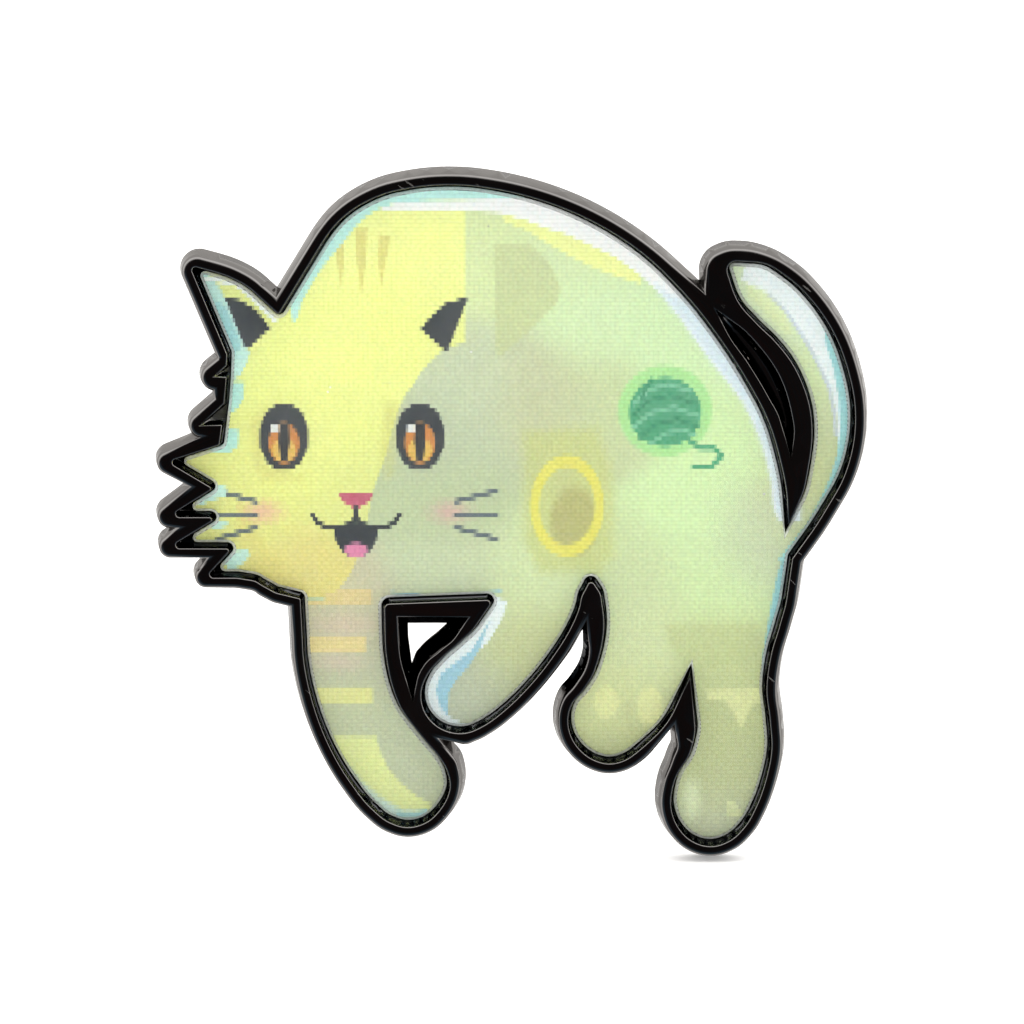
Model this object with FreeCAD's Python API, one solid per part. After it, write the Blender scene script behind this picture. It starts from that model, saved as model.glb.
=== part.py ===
import FreeCAD, Part
import math
import os

# ---------------------------------------------------------------------------
# Cat-shaped lapel pin: a die-cast body with a raised rim, a lenticular print
# sheet glued in its pocket, two nail posts soldered to the back, and a
# butterfly clutch on each post.
#
# Frame: millimetres. Origin on the back face, midway between the two posts.
# +X to the right of the face, +Z up, -Y out of the decorated face, +Y towards
# the garment side, along the posts.
# ---------------------------------------------------------------------------

V = FreeCAD.Vector

# ---- driving dimensions ----------------------------------------------------
BODY_THICK = 2.00        # back face to rim top
OUTER_DRAFT = 0.33       # how far the outer wall runs out from rim top to back
RIM_ROUND = 0.12         # rounding of the rim's inner top edges
OUTER_ROUND = 0.26       # rounding of the rim's outer top edge
POCKET_INSET = 0.80      # rim top outer edge to the foot of the pocket wall
POCKET_DRAFT = 0.14      # how far the pocket wall runs out, foot to rim top
FLOOR_THICK = 0.75       # metal left under the pocket
EAR_R = 0.92             # rounding of the ear tip, rim top
POCKET_NOTCH_R = 0.32    # rounding of the pocket where a notch pushes into it
SPUR_FLOOR = 1.00        # metal left under the two spurs cut into the cheek
SPUR_DRAFT = 0.16        # taper of the spurs' walls
LEAF_FLOOR = 0.85        # metal left under the sunk web between back and tail
LEAF_DRAFT = 0.18        # taper of the sunk web's walls
BACK_EDGE = 0.10         # small break round the back face

SHEET_GAP = 0.06         # sheet to pocket wall, all round
SHEET_TIP_R = 0.30       # cut radius at the sheet's sharp tips
GLUE_T = 0.10            # adhesive film
PRINT_T = 0.06           # ink and its white backing
LENS_T = 0.29            # clear lens sheet, rib crowns included

POST_X = 11.0            # post centres at x = -POST_X and +POST_X
POST_R = 0.55            # post radius
POST_L = 9.0             # back face to the post's tip
POST_TIP = 1.1           # length of the tip's taper
POST_TIP_R = 0.14        # radius left at the very tip
GROOVE_Y = (3.25, 7.05)  # middles of the two locking grooves: where the jaws
                         # grip at rest, and near the tip for thin cloth
GROOVE_W = 0.50
GROOVE_R = 0.43
FLANGE_R = 1.45          # head of the nail, soldered to the back
FLANGE_T = 0.30
SOLDER_R = 2.05          # solder fillet's foot
SOLDER_H = 0.24

CLUTCH_Y = 2.30          # clutch front plate's height over the back at rest
PLATE_R = 5.70           # clutch front plate
PLATE_T = 0.30
PLATE_LIP_H = 0.95       # height of the plate's rolled lip
PLATE_BORE_R = 1.42      # wide mouth that finds the post
CAP_R = 3.35             # clutch cap
CAP_T = 0.25
CAP_H = 3.10             # cap top over the plate's front
CAP_BORE_R = 0.80
WINDOW_HALF_Z = 2.02     # half width of the cap's side windows
WINDOW_Y0 = 1.05         # windows' lower edge over the plate's front
WING_T = 0.34            # spring wing's sheet thickness
WING_HALF_Z = 1.75       # half width of a wing
WING_PIVOT_X = 2.45      # pivot's distance from the post's axis
WING_PIVOT_Y = 2.05      # pivot's height over the plate's front
JAW_R = 0.575            # notch in each jaw, round the post
JAW_Y = 0.95             # jaw's height over the plate's front
TAB_TOP_Y = 5.30         # top of the finger tabs over the plate's front


# ---- outline arithmetic ----------------------------------------------------
# An outline is a closed run of nodes, anticlockwise seen with +X right and
# +Z up, so metal or sheet lies on its left. Node ('c', x, z, r) is a corner
# between two straight runs, rounded by r at offset zero (0 keeps it sharp).
# Node ('s', x, z) lies on a smooth run; ('s', x, z, tx, tz) states its tangent.

def unit(ax, az):
    n = math.hypot(ax, az)
    return ax / n, az / n


def circle_tangent(a, b, c):
    # tangent at b of the circle through a, b, c
    ux, uz = b[0] - a[0], b[1] - a[1]
    vx, vz = c[0] - b[0], c[1] - b[1]
    lu, lv = math.hypot(ux, uz), math.hypot(vx, vz)
    return unit(ux / lu * lv + vx / lv * lu, uz / lu * lv + vz / lv * lu)


def with_tangents(nodes):
    n = len(nodes)
    out = []
    for i, nd in enumerate(nodes):
        if nd[0] == 'c':
            out.append(nd)
            continue
        p, q = nodes[i - 1], nodes[(i + 1) % n]
        if p[0] == 'c':
            out.append(('s', nd[1], nd[2]) + unit(nd[1] - p[1], nd[2] - p[2]))
        elif q[0] == 'c':
            out.append(('s', nd[1], nd[2]) + unit(q[1] - nd[1], q[2] - nd[2]))
        elif len(nd) == 5:
            out.append(nd)
        else:
            out.append(('s', nd[1], nd[2]) + circle_tangent(p[1:3], nd[1:3], q[1:3]))
    return out


def arc_piece(p, t, q):
    # arc or line from p, leaving along t, to q
    sx, sz = q[0] - p[0], q[1] - p[1]
    ss = sx * sx + sz * sz
    k = 2.0 * (-t[1] * sx + t[0] * sz) / ss
    if abs(k) < 1e-5:
        u = unit(sx, sz)
        return dict(p0=p, p1=q, t0=u, t1=u, k=0.0)
    c = (p[0] - t[1] / k, p[1] + t[0] / k)
    r = 1.0 / abs(k)
    # direction at the end: reflect t about the chord
    u = unit(sx, sz)
    d = 2.0 * (t[0] * u[0] + t[1] * u[1])
    t1 = (d * u[0] - t[0], d * u[1] - t[1])
    # middle of the arc
    side = -1.0 if k > 0 else 1.0
    mx, mz = -u[1] * side, u[0] * side
    cm = ((p[0] + q[0]) / 2, (p[1] + q[1]) / 2)
    half = math.sqrt(ss) / 2
    sag = r - math.sqrt(max(r * r - half * half, 0.0))
    if t[0] * u[0] + t[1] * u[1] < 0:
        sag = 2 * r - sag
    m = (cm[0] + mx * sag, cm[1] + mz * sag)
    return dict(p0=p, p1=q, t0=t, t1=t1, k=k, c=c, r=r, m=m)


def biarc(p0, t0, p1, t1):
    vx, vz = p1[0] - p0[0], p1[1] - p0[1]
    tx, tz = t0[0] + t1[0], t0[1] + t1[1]
    vt = vx * tx + vz * tz
    vv = vx * vx + vz * vz
    den = 2.0 * (1.0 - (t0[0] * t1[0] + t0[1] * t1[1]))
    if den < 1e-9:
        d = vv / (4.0 * (vx * t1[0] + vz * t1[1]))
    else:
        d = (-vt + math.sqrt(vt * vt + den * vv)) / den
    m = ((p0[0] + p1[0] + d * (t0[0] - t1[0])) / 2, (p0[1] + p1[1] + d * (t0[1] - t1[1])) / 2)
    a = arc_piece(p0, t0, m)
    b = arc_piece(m, a['t1'], p1)
    return [a, b]


def trace(nodes):
    # sharp-cornered run of lines and arcs, with the corner after each piece
    nodes = with_tangents(nodes)
    n = len(nodes)
    pieces = []
    for i in range(n):
        a, b = nodes[i], nodes[(i + 1) % n]
        pa, pb = (a[1], a[2]), (b[1], b[2])
        if a[0] == 'c' or b[0] == 'c':
            u = unit(pb[0] - pa[0], pb[1] - pa[1])
            run = [dict(p0=pa, p1=pb, t0=u, t1=u, k=0.0)]
        else:
            run = biarc(pa, (a[3], a[4]), pb, (b[3], b[4]))
        run[-1]['corner'] = b[3] if b[0] == 'c' else None
        for r in run[:-1]:
            r['corner'] = None
        pieces += run
    return pieces


def right_of(p, t, d):
    return p[0] + t[1] * d, p[1] - t[0] * d


def offset_run(pieces, d, radius=None):
    # outward by d (inward if negative); corners keep their centres, so a
    # rounded corner turning out gains d and one turning in loses d
    out = []
    for g in pieces:
        h = dict(g)
        h['p0'] = right_of(g['p0'], g['t0'], d)
        h['p1'] = right_of(g['p1'], g['t1'], d)
        if g['k'] != 0.0:
            r2 = g['r'] + d if g['k'] > 0 else g['r'] - d
            if r2 <= 0.0:
                raise ValueError("arc of radius %.3f lost at offset %.3f near %s" % (g['r'], d, g['p0']))
            s = r2 / g['r']
            h['m'] = (g['c'][0] + (g['m'][0] - g['c'][0]) * s, g['c'][1] + (g['m'][1] - g['c'][1]) * s)
            h['r'] = r2
            h['k'] = math.copysign(1.0 / r2, g['k'])
        out.append(h)
    n = len(out)
    rounds = {}
    for i in range(n):
        a, b = out[i], out[(i + 1) % n]
        if a['corner'] is None:
            continue
        if a['k'] != 0.0 or b['k'] != 0.0:
            raise ValueError("corner beside an arc near %s" % (a['p1'],))
        u, w = a['t1'], b['t0']
        cr = u[0] * w[1] - u[1] * w[0]
        if abs(cr) < 1e-9:
            continue
        dx, dz = b['p0'][0] - a['p0'][0], b['p0'][1] - a['p0'][1]
        s = (dx * w[1] - dz * w[0]) / cr
        vtx = (a['p0'][0] + u[0] * s, a['p0'][1] + u[1] * s)
        r = a['corner']
        if radius is not None:
            r = radius(r, cr > 0)
        elif r > 0:
            r = r + d if cr > 0 else r - d
            if r < 0.005:
                raise ValueError("corner radius lost at %s" % (vtx,))
        if r <= 0:
            a['p1'] = vtx
            b['p0'] = vtx
            continue
        phi = math.acos(max(-1.0, min(1.0, u[0] * w[0] + u[1] * w[1])))
        tl = r * math.tan(phi / 2)
        a['p1'] = (vtx[0] - u[0] * tl, vtx[1] - u[1] * tl)
        b['p0'] = (vtx[0] + w[0] * tl, vtx[1] + w[1] * tl)
        bx, bz = unit(w[0] - u[0], w[1] - u[1])
        e = r / math.cos(phi / 2) - r
        rounds[i] = dict(p0=a['p1'], p1=b['p0'], m=(vtx[0] + bx * e, vtx[1] + bz * e), k=1.0, corner=None, r=r)
    full = []
    for i, g in enumerate(out):
        ux, uz = g['p1'][0] - g['p0'][0], g['p1'][1] - g['p0'][1]
        if g['k'] == 0.0 and ux * g['t0'][0] + uz * g['t0'][1] < 1e-4:
            raise ValueError("straight run lost near %s at offset %.3f" % (g['p0'], d))
        full.append(g)
        if i in rounds:
            full.append(rounds[i])
    return full


def wire(pieces, y):
    edges = []
    for g in pieces:
        a, b = V(g['p0'][0], y, g['p0'][1]), V(g['p1'][0], y, g['p1'][1])
        if g['k'] == 0.0:
            edges.append(Part.LineSegment(a, b).toShape())
        else:
            edges.append(Part.Arc(a, V(g['m'][0], y, g['m'][1]), b).toShape())
    return Part.Wire(edges)


def level(pieces, d, y, radius=None):
    return wire(offset_run(pieces, d, radius), y)


def loft(wires):
    s = Part.makeLoft(wires, True, True)
    if s.Volume < 0:
        s.reverse()
    return s


def prism(w, dy):
    s = Part.Face(w).extrude(V(0, dy, 0))
    if s.Volume < 0:
        s.reverse()
    return s


def inset(nodes, first, last, d, r_in, r_out):
    # nodes first..last of an outline, moved inward by d; corners move to where
    # their two moved runs meet, and get radius r_out (turning out) or r_in
    full = with_tangents(nodes)
    n = len(full)
    out = []
    i = first
    while True:
        nd = full[i % n]
        if nd[0] == 's':
            x, z = right_of((nd[1], nd[2]), (nd[3], nd[4]), -d)
            out.append(('s', x, z, nd[3], nd[4]))
        else:
            a, b = full[i - 1], full[(i + 1) % n]
            u = unit(nd[1] - a[1], nd[2] - a[2])
            w = unit(b[1] - nd[1], b[2] - nd[2])
            cr = u[0] * w[1] - u[1] * w[0]
            p = right_of((nd[1], nd[2]), u, -d)
            q = right_of((nd[1], nd[2]), w, -d)
            s = ((q[0] - p[0]) * w[1] - (q[1] - p[1]) * w[0]) / cr
            out.append(('c', p[0] + u[0] * s, p[1] + u[1] * s, r_out if cr > 0 else r_in))
        if i % n == last % n:
            return out
        i += 1


# ---- outline of the rim's outer top edge -----------------------------------
# The ruff of fur down the cheek has six tips. The lower two belong to the main
# outline; the upper four are tongues that run out from it, each with a tip of
# its own, because the gaps between them close up towards the back.
CHEEK = [
    ('c', -18.01, 7.61, 0.0),      # foot of the ear
    ('c', -18.28, 5.87, 0.0),
    ('c', -18.24, 4.88, 0.0),
    ('c', -18.50, 2.70, 0.0),      # under the tongues from here
    ('c', -19.51, -2.36, 0.0),
    ('c', -23.30, -4.90, 0.65),    # fifth fur tip
    ('c', -18.75, -4.90, 0.0),
    ('c', -20.34, -6.77, 0.635),   # sixth fur tip
    ('c', -17.11, -6.82, 3.0),     # chin
    ('s', -16.25, -6.96),
    ('s', -15.51, -7.38),
    ('s', -14.65, -7.79),
    ('c', -13.75, -8.01, 0.0),     # chin meets the first leg
]
TONGUES = [
    [('c', -20.49, 5.59, 0.78), ('c', -17.53, 5.59, 0.0), ('c', -17.49, 7.95, 0.0)],
    [('c', -21.05, 2.64, 0.735), ('c', -17.58, 2.64, 0.0), ('c', -17.52, 5.69, 0.0)],
    [('c', -22.75, 1.12, 0.68), ('c', -19.81, -0.44, 0.0), ('c', -23.22, -3.01, 0.68),
     ('c', -17.67, -3.01, 0.0), ('c', -17.56, 3.27, 0.0)],
]
LEG1 = [
    ('s', -13.68, -9.80),
    ('s', -13.61, -11.40),
    ('s', -13.29, -13.39),
    ('s', -12.69, -15.55),
    ('s', -11.78, -17.75),
    ('s', -10.61, -19.76),
    ('s', -9.30, -21.45),
    ('s', -7.99, -22.50),
    ('s', -6.61, -22.89),
    ('s', -5.16, -22.53),
    ('s', -3.96, -21.42),
    ('s', -3.30, -19.99),
    ('s', -3.26, -18.75),
    ('s', -3.66, -17.68),
]
LEG2 = [
    ('c', -4.79, -16.42, 0.0),     # first and second legs part
    ('s', -3.13, -16.84),
    ('s', -2.13, -16.58),
    ('s', -1.13, -16.00),
    ('s', 0.19, -14.93),
    ('s', 1.56, -13.52),
    ('s', 2.74, -12.04),
    ('s', 3.76, -10.50),
]
LEG3 = [
    ('c', 4.69, -8.71, 0.0),       # second and third legs part
    ('s', 4.76, -10.63),
    ('s', 4.55, -11.91),
    ('s', 3.93, -13.00),
    ('s', 3.18, -13.97),
    ('s', 2.87, -15.19),
    ('s', 3.07, -16.48),
    ('s', 3.73, -17.58),
    ('s', 4.83, -18.43),
    ('s', 6.14, -18.75),
    ('s', 7.27, -18.49),
    ('s', 8.21, -17.87),
    ('s', 9.14, -16.84),
]
LEG4 = [
    ('c', 10.19, -15.51, 0.0),     # third and fourth legs part
    ('s', 10.33, -16.81),
    ('s', 10.02, -17.91),
    ('s', 9.50, -19.40),
    ('s', 9.36, -20.96),
    ('s', 9.94, -22.63),
    ('s', 11.02, -23.71),
    ('s', 12.54, -24.14),
    ('s', 14.04, -23.68),
    ('s', 15.16, -22.60),
    ('s', 15.99, -21.03),
    ('s', 16.59, -19.14),
    ('s', 16.90, -17.19),
    ('s', 16.78, -15.38),
    ('s', 16.53, -13.32),
    ('s', 16.75, -11.27),
    ('s', 17.28, -9.29),
    ('s', 17.68, -7.57),
]
TAIL = [
    ('c', 17.98, -5.19, 0.5),      # thigh meets the tail
    ('s', 18.98, -3.73),
    ('s', 20.00, -2.06),
    ('s', 21.04, -0.05),
    ('s', 21.64, 2.33),
    ('s', 21.67, 4.69),
    ('s', 21.17, 7.05),
    ('s', 20.27, 9.33),
    ('s', 18.95, 11.33),
    ('s', 17.34, 12.94),
    ('s', 15.69, 13.91),
]
TAIL_TIP = [
    ('s', 14.16, 14.28),
    ('s', 12.89, 14.19),
    ('s', 12.07, 13.70),
    ('s', 11.78, 12.89),
    ('c', 11.82, 11.45, 0.0),      # tail meets the back
]
BACK = [
    ('s', 9.61, 13.47),
    ('s', 7.59, 15.08),
    ('s', 5.03, 16.61),
    ('s', 2.30, 17.75),
    ('s', -0.42, 18.47),
    ('s', -3.15, 18.82),
    ('s', -5.87, 18.69),
    ('s', -8.48, 18.04),
    ('s', -10.73, 16.64),
    ('s', -12.21, 14.78),
]
EAR = [
    ('c', -14.38, 11.27, 0.0),     # ear meets the back
    ('s', -15.23, 12.07),
    ('s', -15.71, 12.47),
    ('s', -16.67, 13.03),
    ('s', -18.12, 13.55),
    ('c', -20.71, 14.25, EAR_R),   # ear tip
]
CREST = CHEEK + LEG1 + LEG2 + LEG3 + LEG4 + TAIL + TAIL_TIP + BACK + EAR

i_leg1 = len(CHEEK)
i_leg2 = i_leg1 + len(LEG1)
i_leg3 = i_leg2 + len(LEG2)
i_leg4 = i_leg3 + len(LEG3)
i_tail = i_leg4 + len(LEG4)
i_tip = i_tail + len(TAIL)
i_back = i_tip + len(TAIL_TIP)
i_ear = i_back + len(BACK)

# ---- outline of the pocket wall's foot -------------------------------------
# It keeps POCKET_INSET from the rim's outer edge, except round the hole
# between the front legs and along the sunk web beside the tail.
ins = lambda a, b: inset(CREST, a, b, POCKET_INSET, POCKET_NOTCH_R, 0.06)

# the wall's top edge down the cheek, from inside the ear to the chin: the
# pocket runs a spike out towards each of the four lower fur tips
CHEEK_IN = [
    ('c', -20.12, 14.50, 0.0),
    ('c', -17.41, 7.82, 0.0),
    ('c', -17.48, 6.37, 0.0),
    ('c', -17.63, 4.75, 0.0),
    ('c', -17.98, 2.17, 0.0),
    ('c', -21.17, 1.14, 0.0),      # spike in the third tip
    ('c', -18.40, -0.55, 0.0),
    ('c', -21.24, -2.33, 0.0),     # fourth
    ('c', -18.07, -2.33, 0.0),
    ('c', -21.28, -4.30, 0.0),     # fifth
    ('c', -17.29, -4.31, 0.0),
    ('c', -18.96, -6.16, 0.0),     # sixth
    ('c', -16.60, -6.17, 0.0),     # chin
    ('c', -14.40, -7.25, 0.0),
]
POCKET = (
    inset(CHEEK_IN, 1, 11, POCKET_DRAFT, POCKET_NOTCH_R, 0.06)
    + ins(8, i_leg1 + 11)
    + [('s', -4.22, -18.65), ('s', -4.72, -17.74), ('s', -5.46, -16.83),
       ('s', -6.28, -15.79), ('s', -7.02, -14.72), ('s', -7.58, -13.33),
       ('s', -7.91, -11.85), ('s', -8.06, -10.31),
       ('c', -8.10, -7.69, 0.50),          # round the hole between the legs
       ('c', -0.81, -7.40, 0.40),
       ('s', -2.12, -9.35), ('s', -3.25, -10.50), ('s', -4.38, -11.53),
       ('s', -5.19, -12.56), ('s', -5.51, -13.59), ('s', -5.27, -14.76),
       ('s', -4.52, -15.60), ('s', -3.39, -15.98)]
    + ins(i_leg2 + 3, i_leg2 + 6)
    + [('s', 3.93, -8.32), ('s', 4.33, -6.98), ('s', 4.90, -6.31),
       ('s', 5.48, -6.86), ('s', 5.80, -8.13)]
    + ins(i_leg3 + 2, i_leg3 + 11)
    + [('s', 9.97, -14.63), ('c', 11.19, -12.04, 0.0)]
    + [('s', 11.60, -15.60), ('s', 11.42, -17.09)]
    + ins(i_leg4 + 3, i_tip - 2)
    + [('s', 14.85, 13.32),
       ('c', 13.10, 13.42, 0.40),          # end of the tail
       ('s', 13.48, 12.24), ('s', 13.95, 11.13), ('s', 15.01, 9.90),
       ('s', 16.25, 8.69), ('s', 17.26, 7.42), ('s', 18.02, 5.93),
       ('s', 18.47, 4.43), ('s', 18.62, 2.87), ('s', 18.44, 0.86),
       ('s', 17.95, -1.28),
       ('c', 17.00, -3.36, 0.0),           # foot of the sunk web
       ('s', 16.81, -1.21), ('s', 16.37, 1.12), ('s', 15.50, 3.81),
       ('s', 14.26, 6.12), ('s', 12.51, 8.78), ('s', 10.83, 10.95)]
    + ins(i_back + 1, i_ear + 5)
)

# spurs cut from the pocket towards the two upper fur tips, too narrow for the
# sheet, which runs straight past them
SPURS = [
    [('c', -18.31, 6.41, 0.0), ('c', -16.65, 6.44, 0.0), ('c', -16.63, 7.77, 0.0)],
    [('c', -19.22, 3.37, 0.0), ('c', -16.70, 3.51, 0.0), ('c', -16.67, 5.61, 0.0)],
]

# ---- hole between the front legs -------------------------------------------
HOLE_TOP = [
    ('c', -7.11, -8.65, 0.0),
    ('s', -7.03, -10.12), ('s', -6.79, -11.91),
    ('c', -6.18, -14.16, 0.0),
    ('s', -5.99, -12.87), ('s', -5.48, -11.69), ('s', -4.48, -10.79), ('s', -3.54, -9.93),
    ('c', -2.67, -8.68, 0.0),
]
HOLE_BACK = [
    ('c', -6.52, -9.50, 0.0),
    ('s', -6.50, -10.27), ('s', -6.42, -10.98),
    ('c', -6.30, -12.05, 0.0),
    ('s', -6.08, -11.45), ('s', -5.72, -10.97), ('s', -5.15, -10.42), ('s', -4.64, -10.00),
    ('c', -4.10, -9.50, 0.0),
]

# ---- sunk web between the back and the tail --------------------------------
LEAF = [
    ('c', 12.38, 10.63, 0.0),
    ('s', 13.19, 9.15), ('s', 14.56, 7.17), ('s', 15.69, 5.31), ('s', 16.51, 3.70),
    ('c', 17.20, 1.26, 0.0),
    ('s', 17.30, 2.70), ('s', 17.05, 4.51), ('s', 16.35, 6.49), ('s', 15.16, 8.22), ('s', 13.80, 9.58),
]

RIM_TOP = -BODY_THICK
FLOOR = -FLOOR_THICK


# a rounded rim edge: (fraction along the wall, fraction along the top)
def rim_steps():
    out = []
    for deg in (0.0, 30.0, 60.0, 90.0):
        a = math.radians(deg)
        out.append((1.0 - math.sin(a), 1.0 - math.cos(a)))
    return out


def rim_solid(outline):
    # metal from the back face up to the rim top, drafted, edges rounded
    ws = [level(outline, OUTER_DRAFT - BACK_EDGE, 0.0)]
    y1 = -BACK_EDGE
    ws.append(level(outline, OUTER_DRAFT * (1 + y1 / BODY_THICK), y1))
    for wall, top in rim_steps():
        y = RIM_TOP + OUTER_ROUND * wall
        d = OUTER_DRAFT * (OUTER_ROUND * wall) / BODY_THICK - OUTER_ROUND * top
        ws.append(level(outline, d, y))
    return loft(ws)


def make_body():
    body = rim_solid(trace(CREST))
    for tongue in TONGUES:
        body = body.fuse(rim_solid(trace(tongue)))
    body = body.removeSplitter()

    pocket = trace(POCKET)
    depth = BODY_THICK - FLOOR_THICK
    ws = [level(pocket, 0.0, FLOOR)]
    for wall, top in rim_steps():
        y = RIM_TOP + RIM_ROUND * wall
        d = POCKET_DRAFT * (1 - RIM_ROUND * wall / depth) + RIM_ROUND * top
        ws.append(level(pocket, d, y))
    ws.append(level(pocket, POCKET_DRAFT + RIM_ROUND, RIM_TOP - 0.4))
    body = body.cut(loft(ws))

    for spur in SPURS:
        run = trace(spur)
        ws = [level(run, -SPUR_DRAFT, -SPUR_FLOOR)]
        for wall, t in rim_steps():
            ws.append(level(run, RIM_ROUND * t, RIM_TOP + RIM_ROUND * wall))
        ws.append(level(run, RIM_ROUND, RIM_TOP - 0.4))
        body = body.cut(loft(ws))

    top, back = trace(HOLE_TOP), trace(HOLE_BACK)
    ws = [level(back, 0.0, 0.4), level(back, 0.0, 0.0)]
    for wall, t in rim_steps():
        ws.append(level(top, RIM_ROUND * t, RIM_TOP + RIM_ROUND * wall))
    ws.append(level(top, RIM_ROUND, RIM_TOP - 0.4))
    body = body.cut(loft(ws))

    leaf = trace(LEAF)
    ws = [level(leaf, -LEAF_DRAFT, -LEAF_FLOOR)]
    for wall, t in rim_steps():
        ws.append(level(leaf, RIM_ROUND * t * 0.8, RIM_TOP + RIM_ROUND * wall))
    ws.append(level(leaf, RIM_ROUND * 0.8, RIM_TOP - 0.4))
    body = body.cut(loft(ws))
    return body


def sheet_outline():
    # the sheet follows the pocket's foot with a small gap, blunt at the tips
    def radius(r, turns_out):
        if turns_out:
            return SHEET_TIP_R if r < 1.0 else r
        return r + SHEET_GAP if r > 0 else 0.0
    return trace(POCKET), radius


def revolve(points, x, z=0.0):
    # closed profile of (radius, y) or ('arc', r, y, r, y) turned about the line
    # through (x, *, z) along Y
    edges = []
    cur = points[0]
    for p in points[1:] + [points[0]]:
        if p[0] == 'arc':
            a = V(x + cur[0], cur[1], z)
            m = V(x + p[1], p[2], z)
            b = V(x + p[3], p[4], z)
            edges.append(Part.Arc(a, m, b).toShape())
            cur = (p[3], p[4])
        else:
            if abs(p[0] - cur[0]) + abs(p[1] - cur[1]) < 1e-9:
                continue
            edges.append(Part.LineSegment(V(x + cur[0], cur[1], z), V(x + p[0], p[1], z)).toShape())
            cur = p
    f = Part.Face(Part.Wire(edges))
    s = f.revolve(V(x, 0, z), V(0, 1, 0), 360)
    if s.ShapeType != 'Solid':
        s = Part.Solid(Part.Shell(s.Faces))
    if s.Volume < 0:
        s.reverse()
    return s


def make_post(x):
    h = GROOVE_W / 2
    pts = [
        (0.0, 0.0), (FLANGE_R - 0.06, 0.0), (FLANGE_R, 0.06), (FLANGE_R, FLANGE_T - 0.08),
        (FLANGE_R - 0.08, FLANGE_T), (POST_R + 0.18, FLANGE_T),
        ('arc', POST_R + 0.053, FLANGE_T + 0.053, POST_R, FLANGE_T + 0.18),
        (POST_R, GROOVE_Y[0] - h),
        ('arc', GROOVE_R, GROOVE_Y[0], POST_R, GROOVE_Y[0] + h),
        (POST_R, GROOVE_Y[1] - h),
        ('arc', GROOVE_R, GROOVE_Y[1], POST_R, GROOVE_Y[1] + h),
        (POST_R, POST_L - POST_TIP),
        ('arc', POST_R * 0.80, POST_L - POST_TIP * 0.42, POST_TIP_R, POST_L - 0.05),
        (POST_TIP_R - 0.05, POST_L), (0.0, POST_L),
    ]
    return revolve(pts, x)


def make_solder(x):
    r0 = FLANGE_R + 0.02
    w = SOLDER_R - r0
    pts = [
        (r0, 0.0), (SOLDER_R, 0.0), (r0 + 0.78 * w, SOLDER_H * 0.10),
        (r0 + 0.50 * w, SOLDER_H * 0.30), (r0 + 0.27 * w, SOLDER_H * 0.60),
        (r0 + 0.12 * w, SOLDER_H), (r0, SOLDER_H),
    ]
    return revolve(pts, x)


def make_clutch_plate(x):
    y = CLUTCH_Y
    t = PLATE_T
    ri = PLATE_R - 0.30
    pts = [
        (PLATE_BORE_R + 0.22, y + 0.0),
        (PLATE_R - 0.55, y + 0.0),
        ('arc', PLATE_R - 0.13, y + 0.17, PLATE_R, y + 0.55),
        (PLATE_R, y + PLATE_LIP_H - 0.15),
        ('arc', PLATE_R - 0.15, y + PLATE_LIP_H, ri, y + PLATE_LIP_H - 0.15),
        (ri, y + 0.62),
        ('arc', ri - 0.10, y + t + 0.09, ri - 0.32, y + t),
        (CAP_R + 0.32, y + t),
        ('arc', CAP_R + 0.19, y + t + 0.10, CAP_R + 0.06, y + t),
        (PLATE_BORE_R, y + t),
        (PLATE_BORE_R, y + 0.22),
        ('arc', PLATE_BORE_R + 0.064, y + 0.064, PLATE_BORE_R + 0.22, y + 0.0),
    ]
    return revolve(pts, x)


def make_clutch_cap(x):
    y = CLUTCH_Y
    y0, y1 = y + PLATE_T, y + CAP_H
    ro, ri = CAP_R, CAP_R - CAP_T
    rd = 0.55
    pts = [
        (ri, y0), (ro, y0), (ro, y1 - rd),
        ('arc', ro - rd * 0.293, y1 - rd * 0.293, ro - rd, y1),
        (CAP_BORE_R + 0.16, y1),
        ('arc', CAP_BORE_R + 0.047, y1 - 0.047, CAP_BORE_R, y1 - 0.16),
        (CAP_BORE_R, y1 - CAP_T),
        (ri - (rd - CAP_T), y1 - CAP_T),
        ('arc', ri - (rd - CAP_T) * 0.293, y1 - CAP_T - (rd - CAP_T) * 0.293, ri, y1 - rd),
    ]
    cap = revolve(pts, x)
    # windows on both sides let the wings out; they run up into the top's edge
    for s in (-1, 1):
        x0 = x + 1.75 if s > 0 else x - 1.75 - 4.0
        w = Part.makeBox(4.0, CAP_H - WINDOW_Y0 + 1.0, 2 * WINDOW_HALF_Z, V(x0, y + WINDOW_Y0, -WINDOW_HALF_Z))
        cap = cap.cut(w)
    return cap


def sheet_strip(mid, t, z0, z1):
    # a strip of sheet metal of thickness t: mid is a list of (x, y) along its
    # middle line, bends rounded
    n = len(mid)
    left, right = [], []
    for i in range(n):
        if i == 0:
            u = unit(mid[1][0] - mid[0][0], mid[1][1] - mid[0][1])
            nx, ny, s = -u[1], u[0], 1.0
        elif i == n - 1:
            u = unit(mid[-1][0] - mid[-2][0], mid[-1][1] - mid[-2][1])
            nx, ny, s = -u[1], u[0], 1.0
        else:
            u = unit(mid[i][0] - mid[i - 1][0], mid[i][1] - mid[i - 1][1])
            w = unit(mid[i + 1][0] - mid[i][0], mid[i + 1][1] - mid[i][1])
            bx, by = unit(-u[1] - w[1], u[0] + w[0])
            nx, ny = bx, by
            s = 1.0 / max(0.2, (-u[1]) * bx + u[0] * by)
        left.append((mid[i][0] + nx * t / 2 * s, mid[i][1] + ny * t / 2 * s))
        right.append((mid[i][0] - nx * t / 2 * s, mid[i][1] - ny * t / 2 * s))
    loop = left + right[::-1]
    pts = [V(a, b, z0) for a, b in loop]
    f = Part.Face(Part.makePolygon(pts + [pts[0]]))
    return f.extrude(V(0, 0, z1 - z0))


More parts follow.
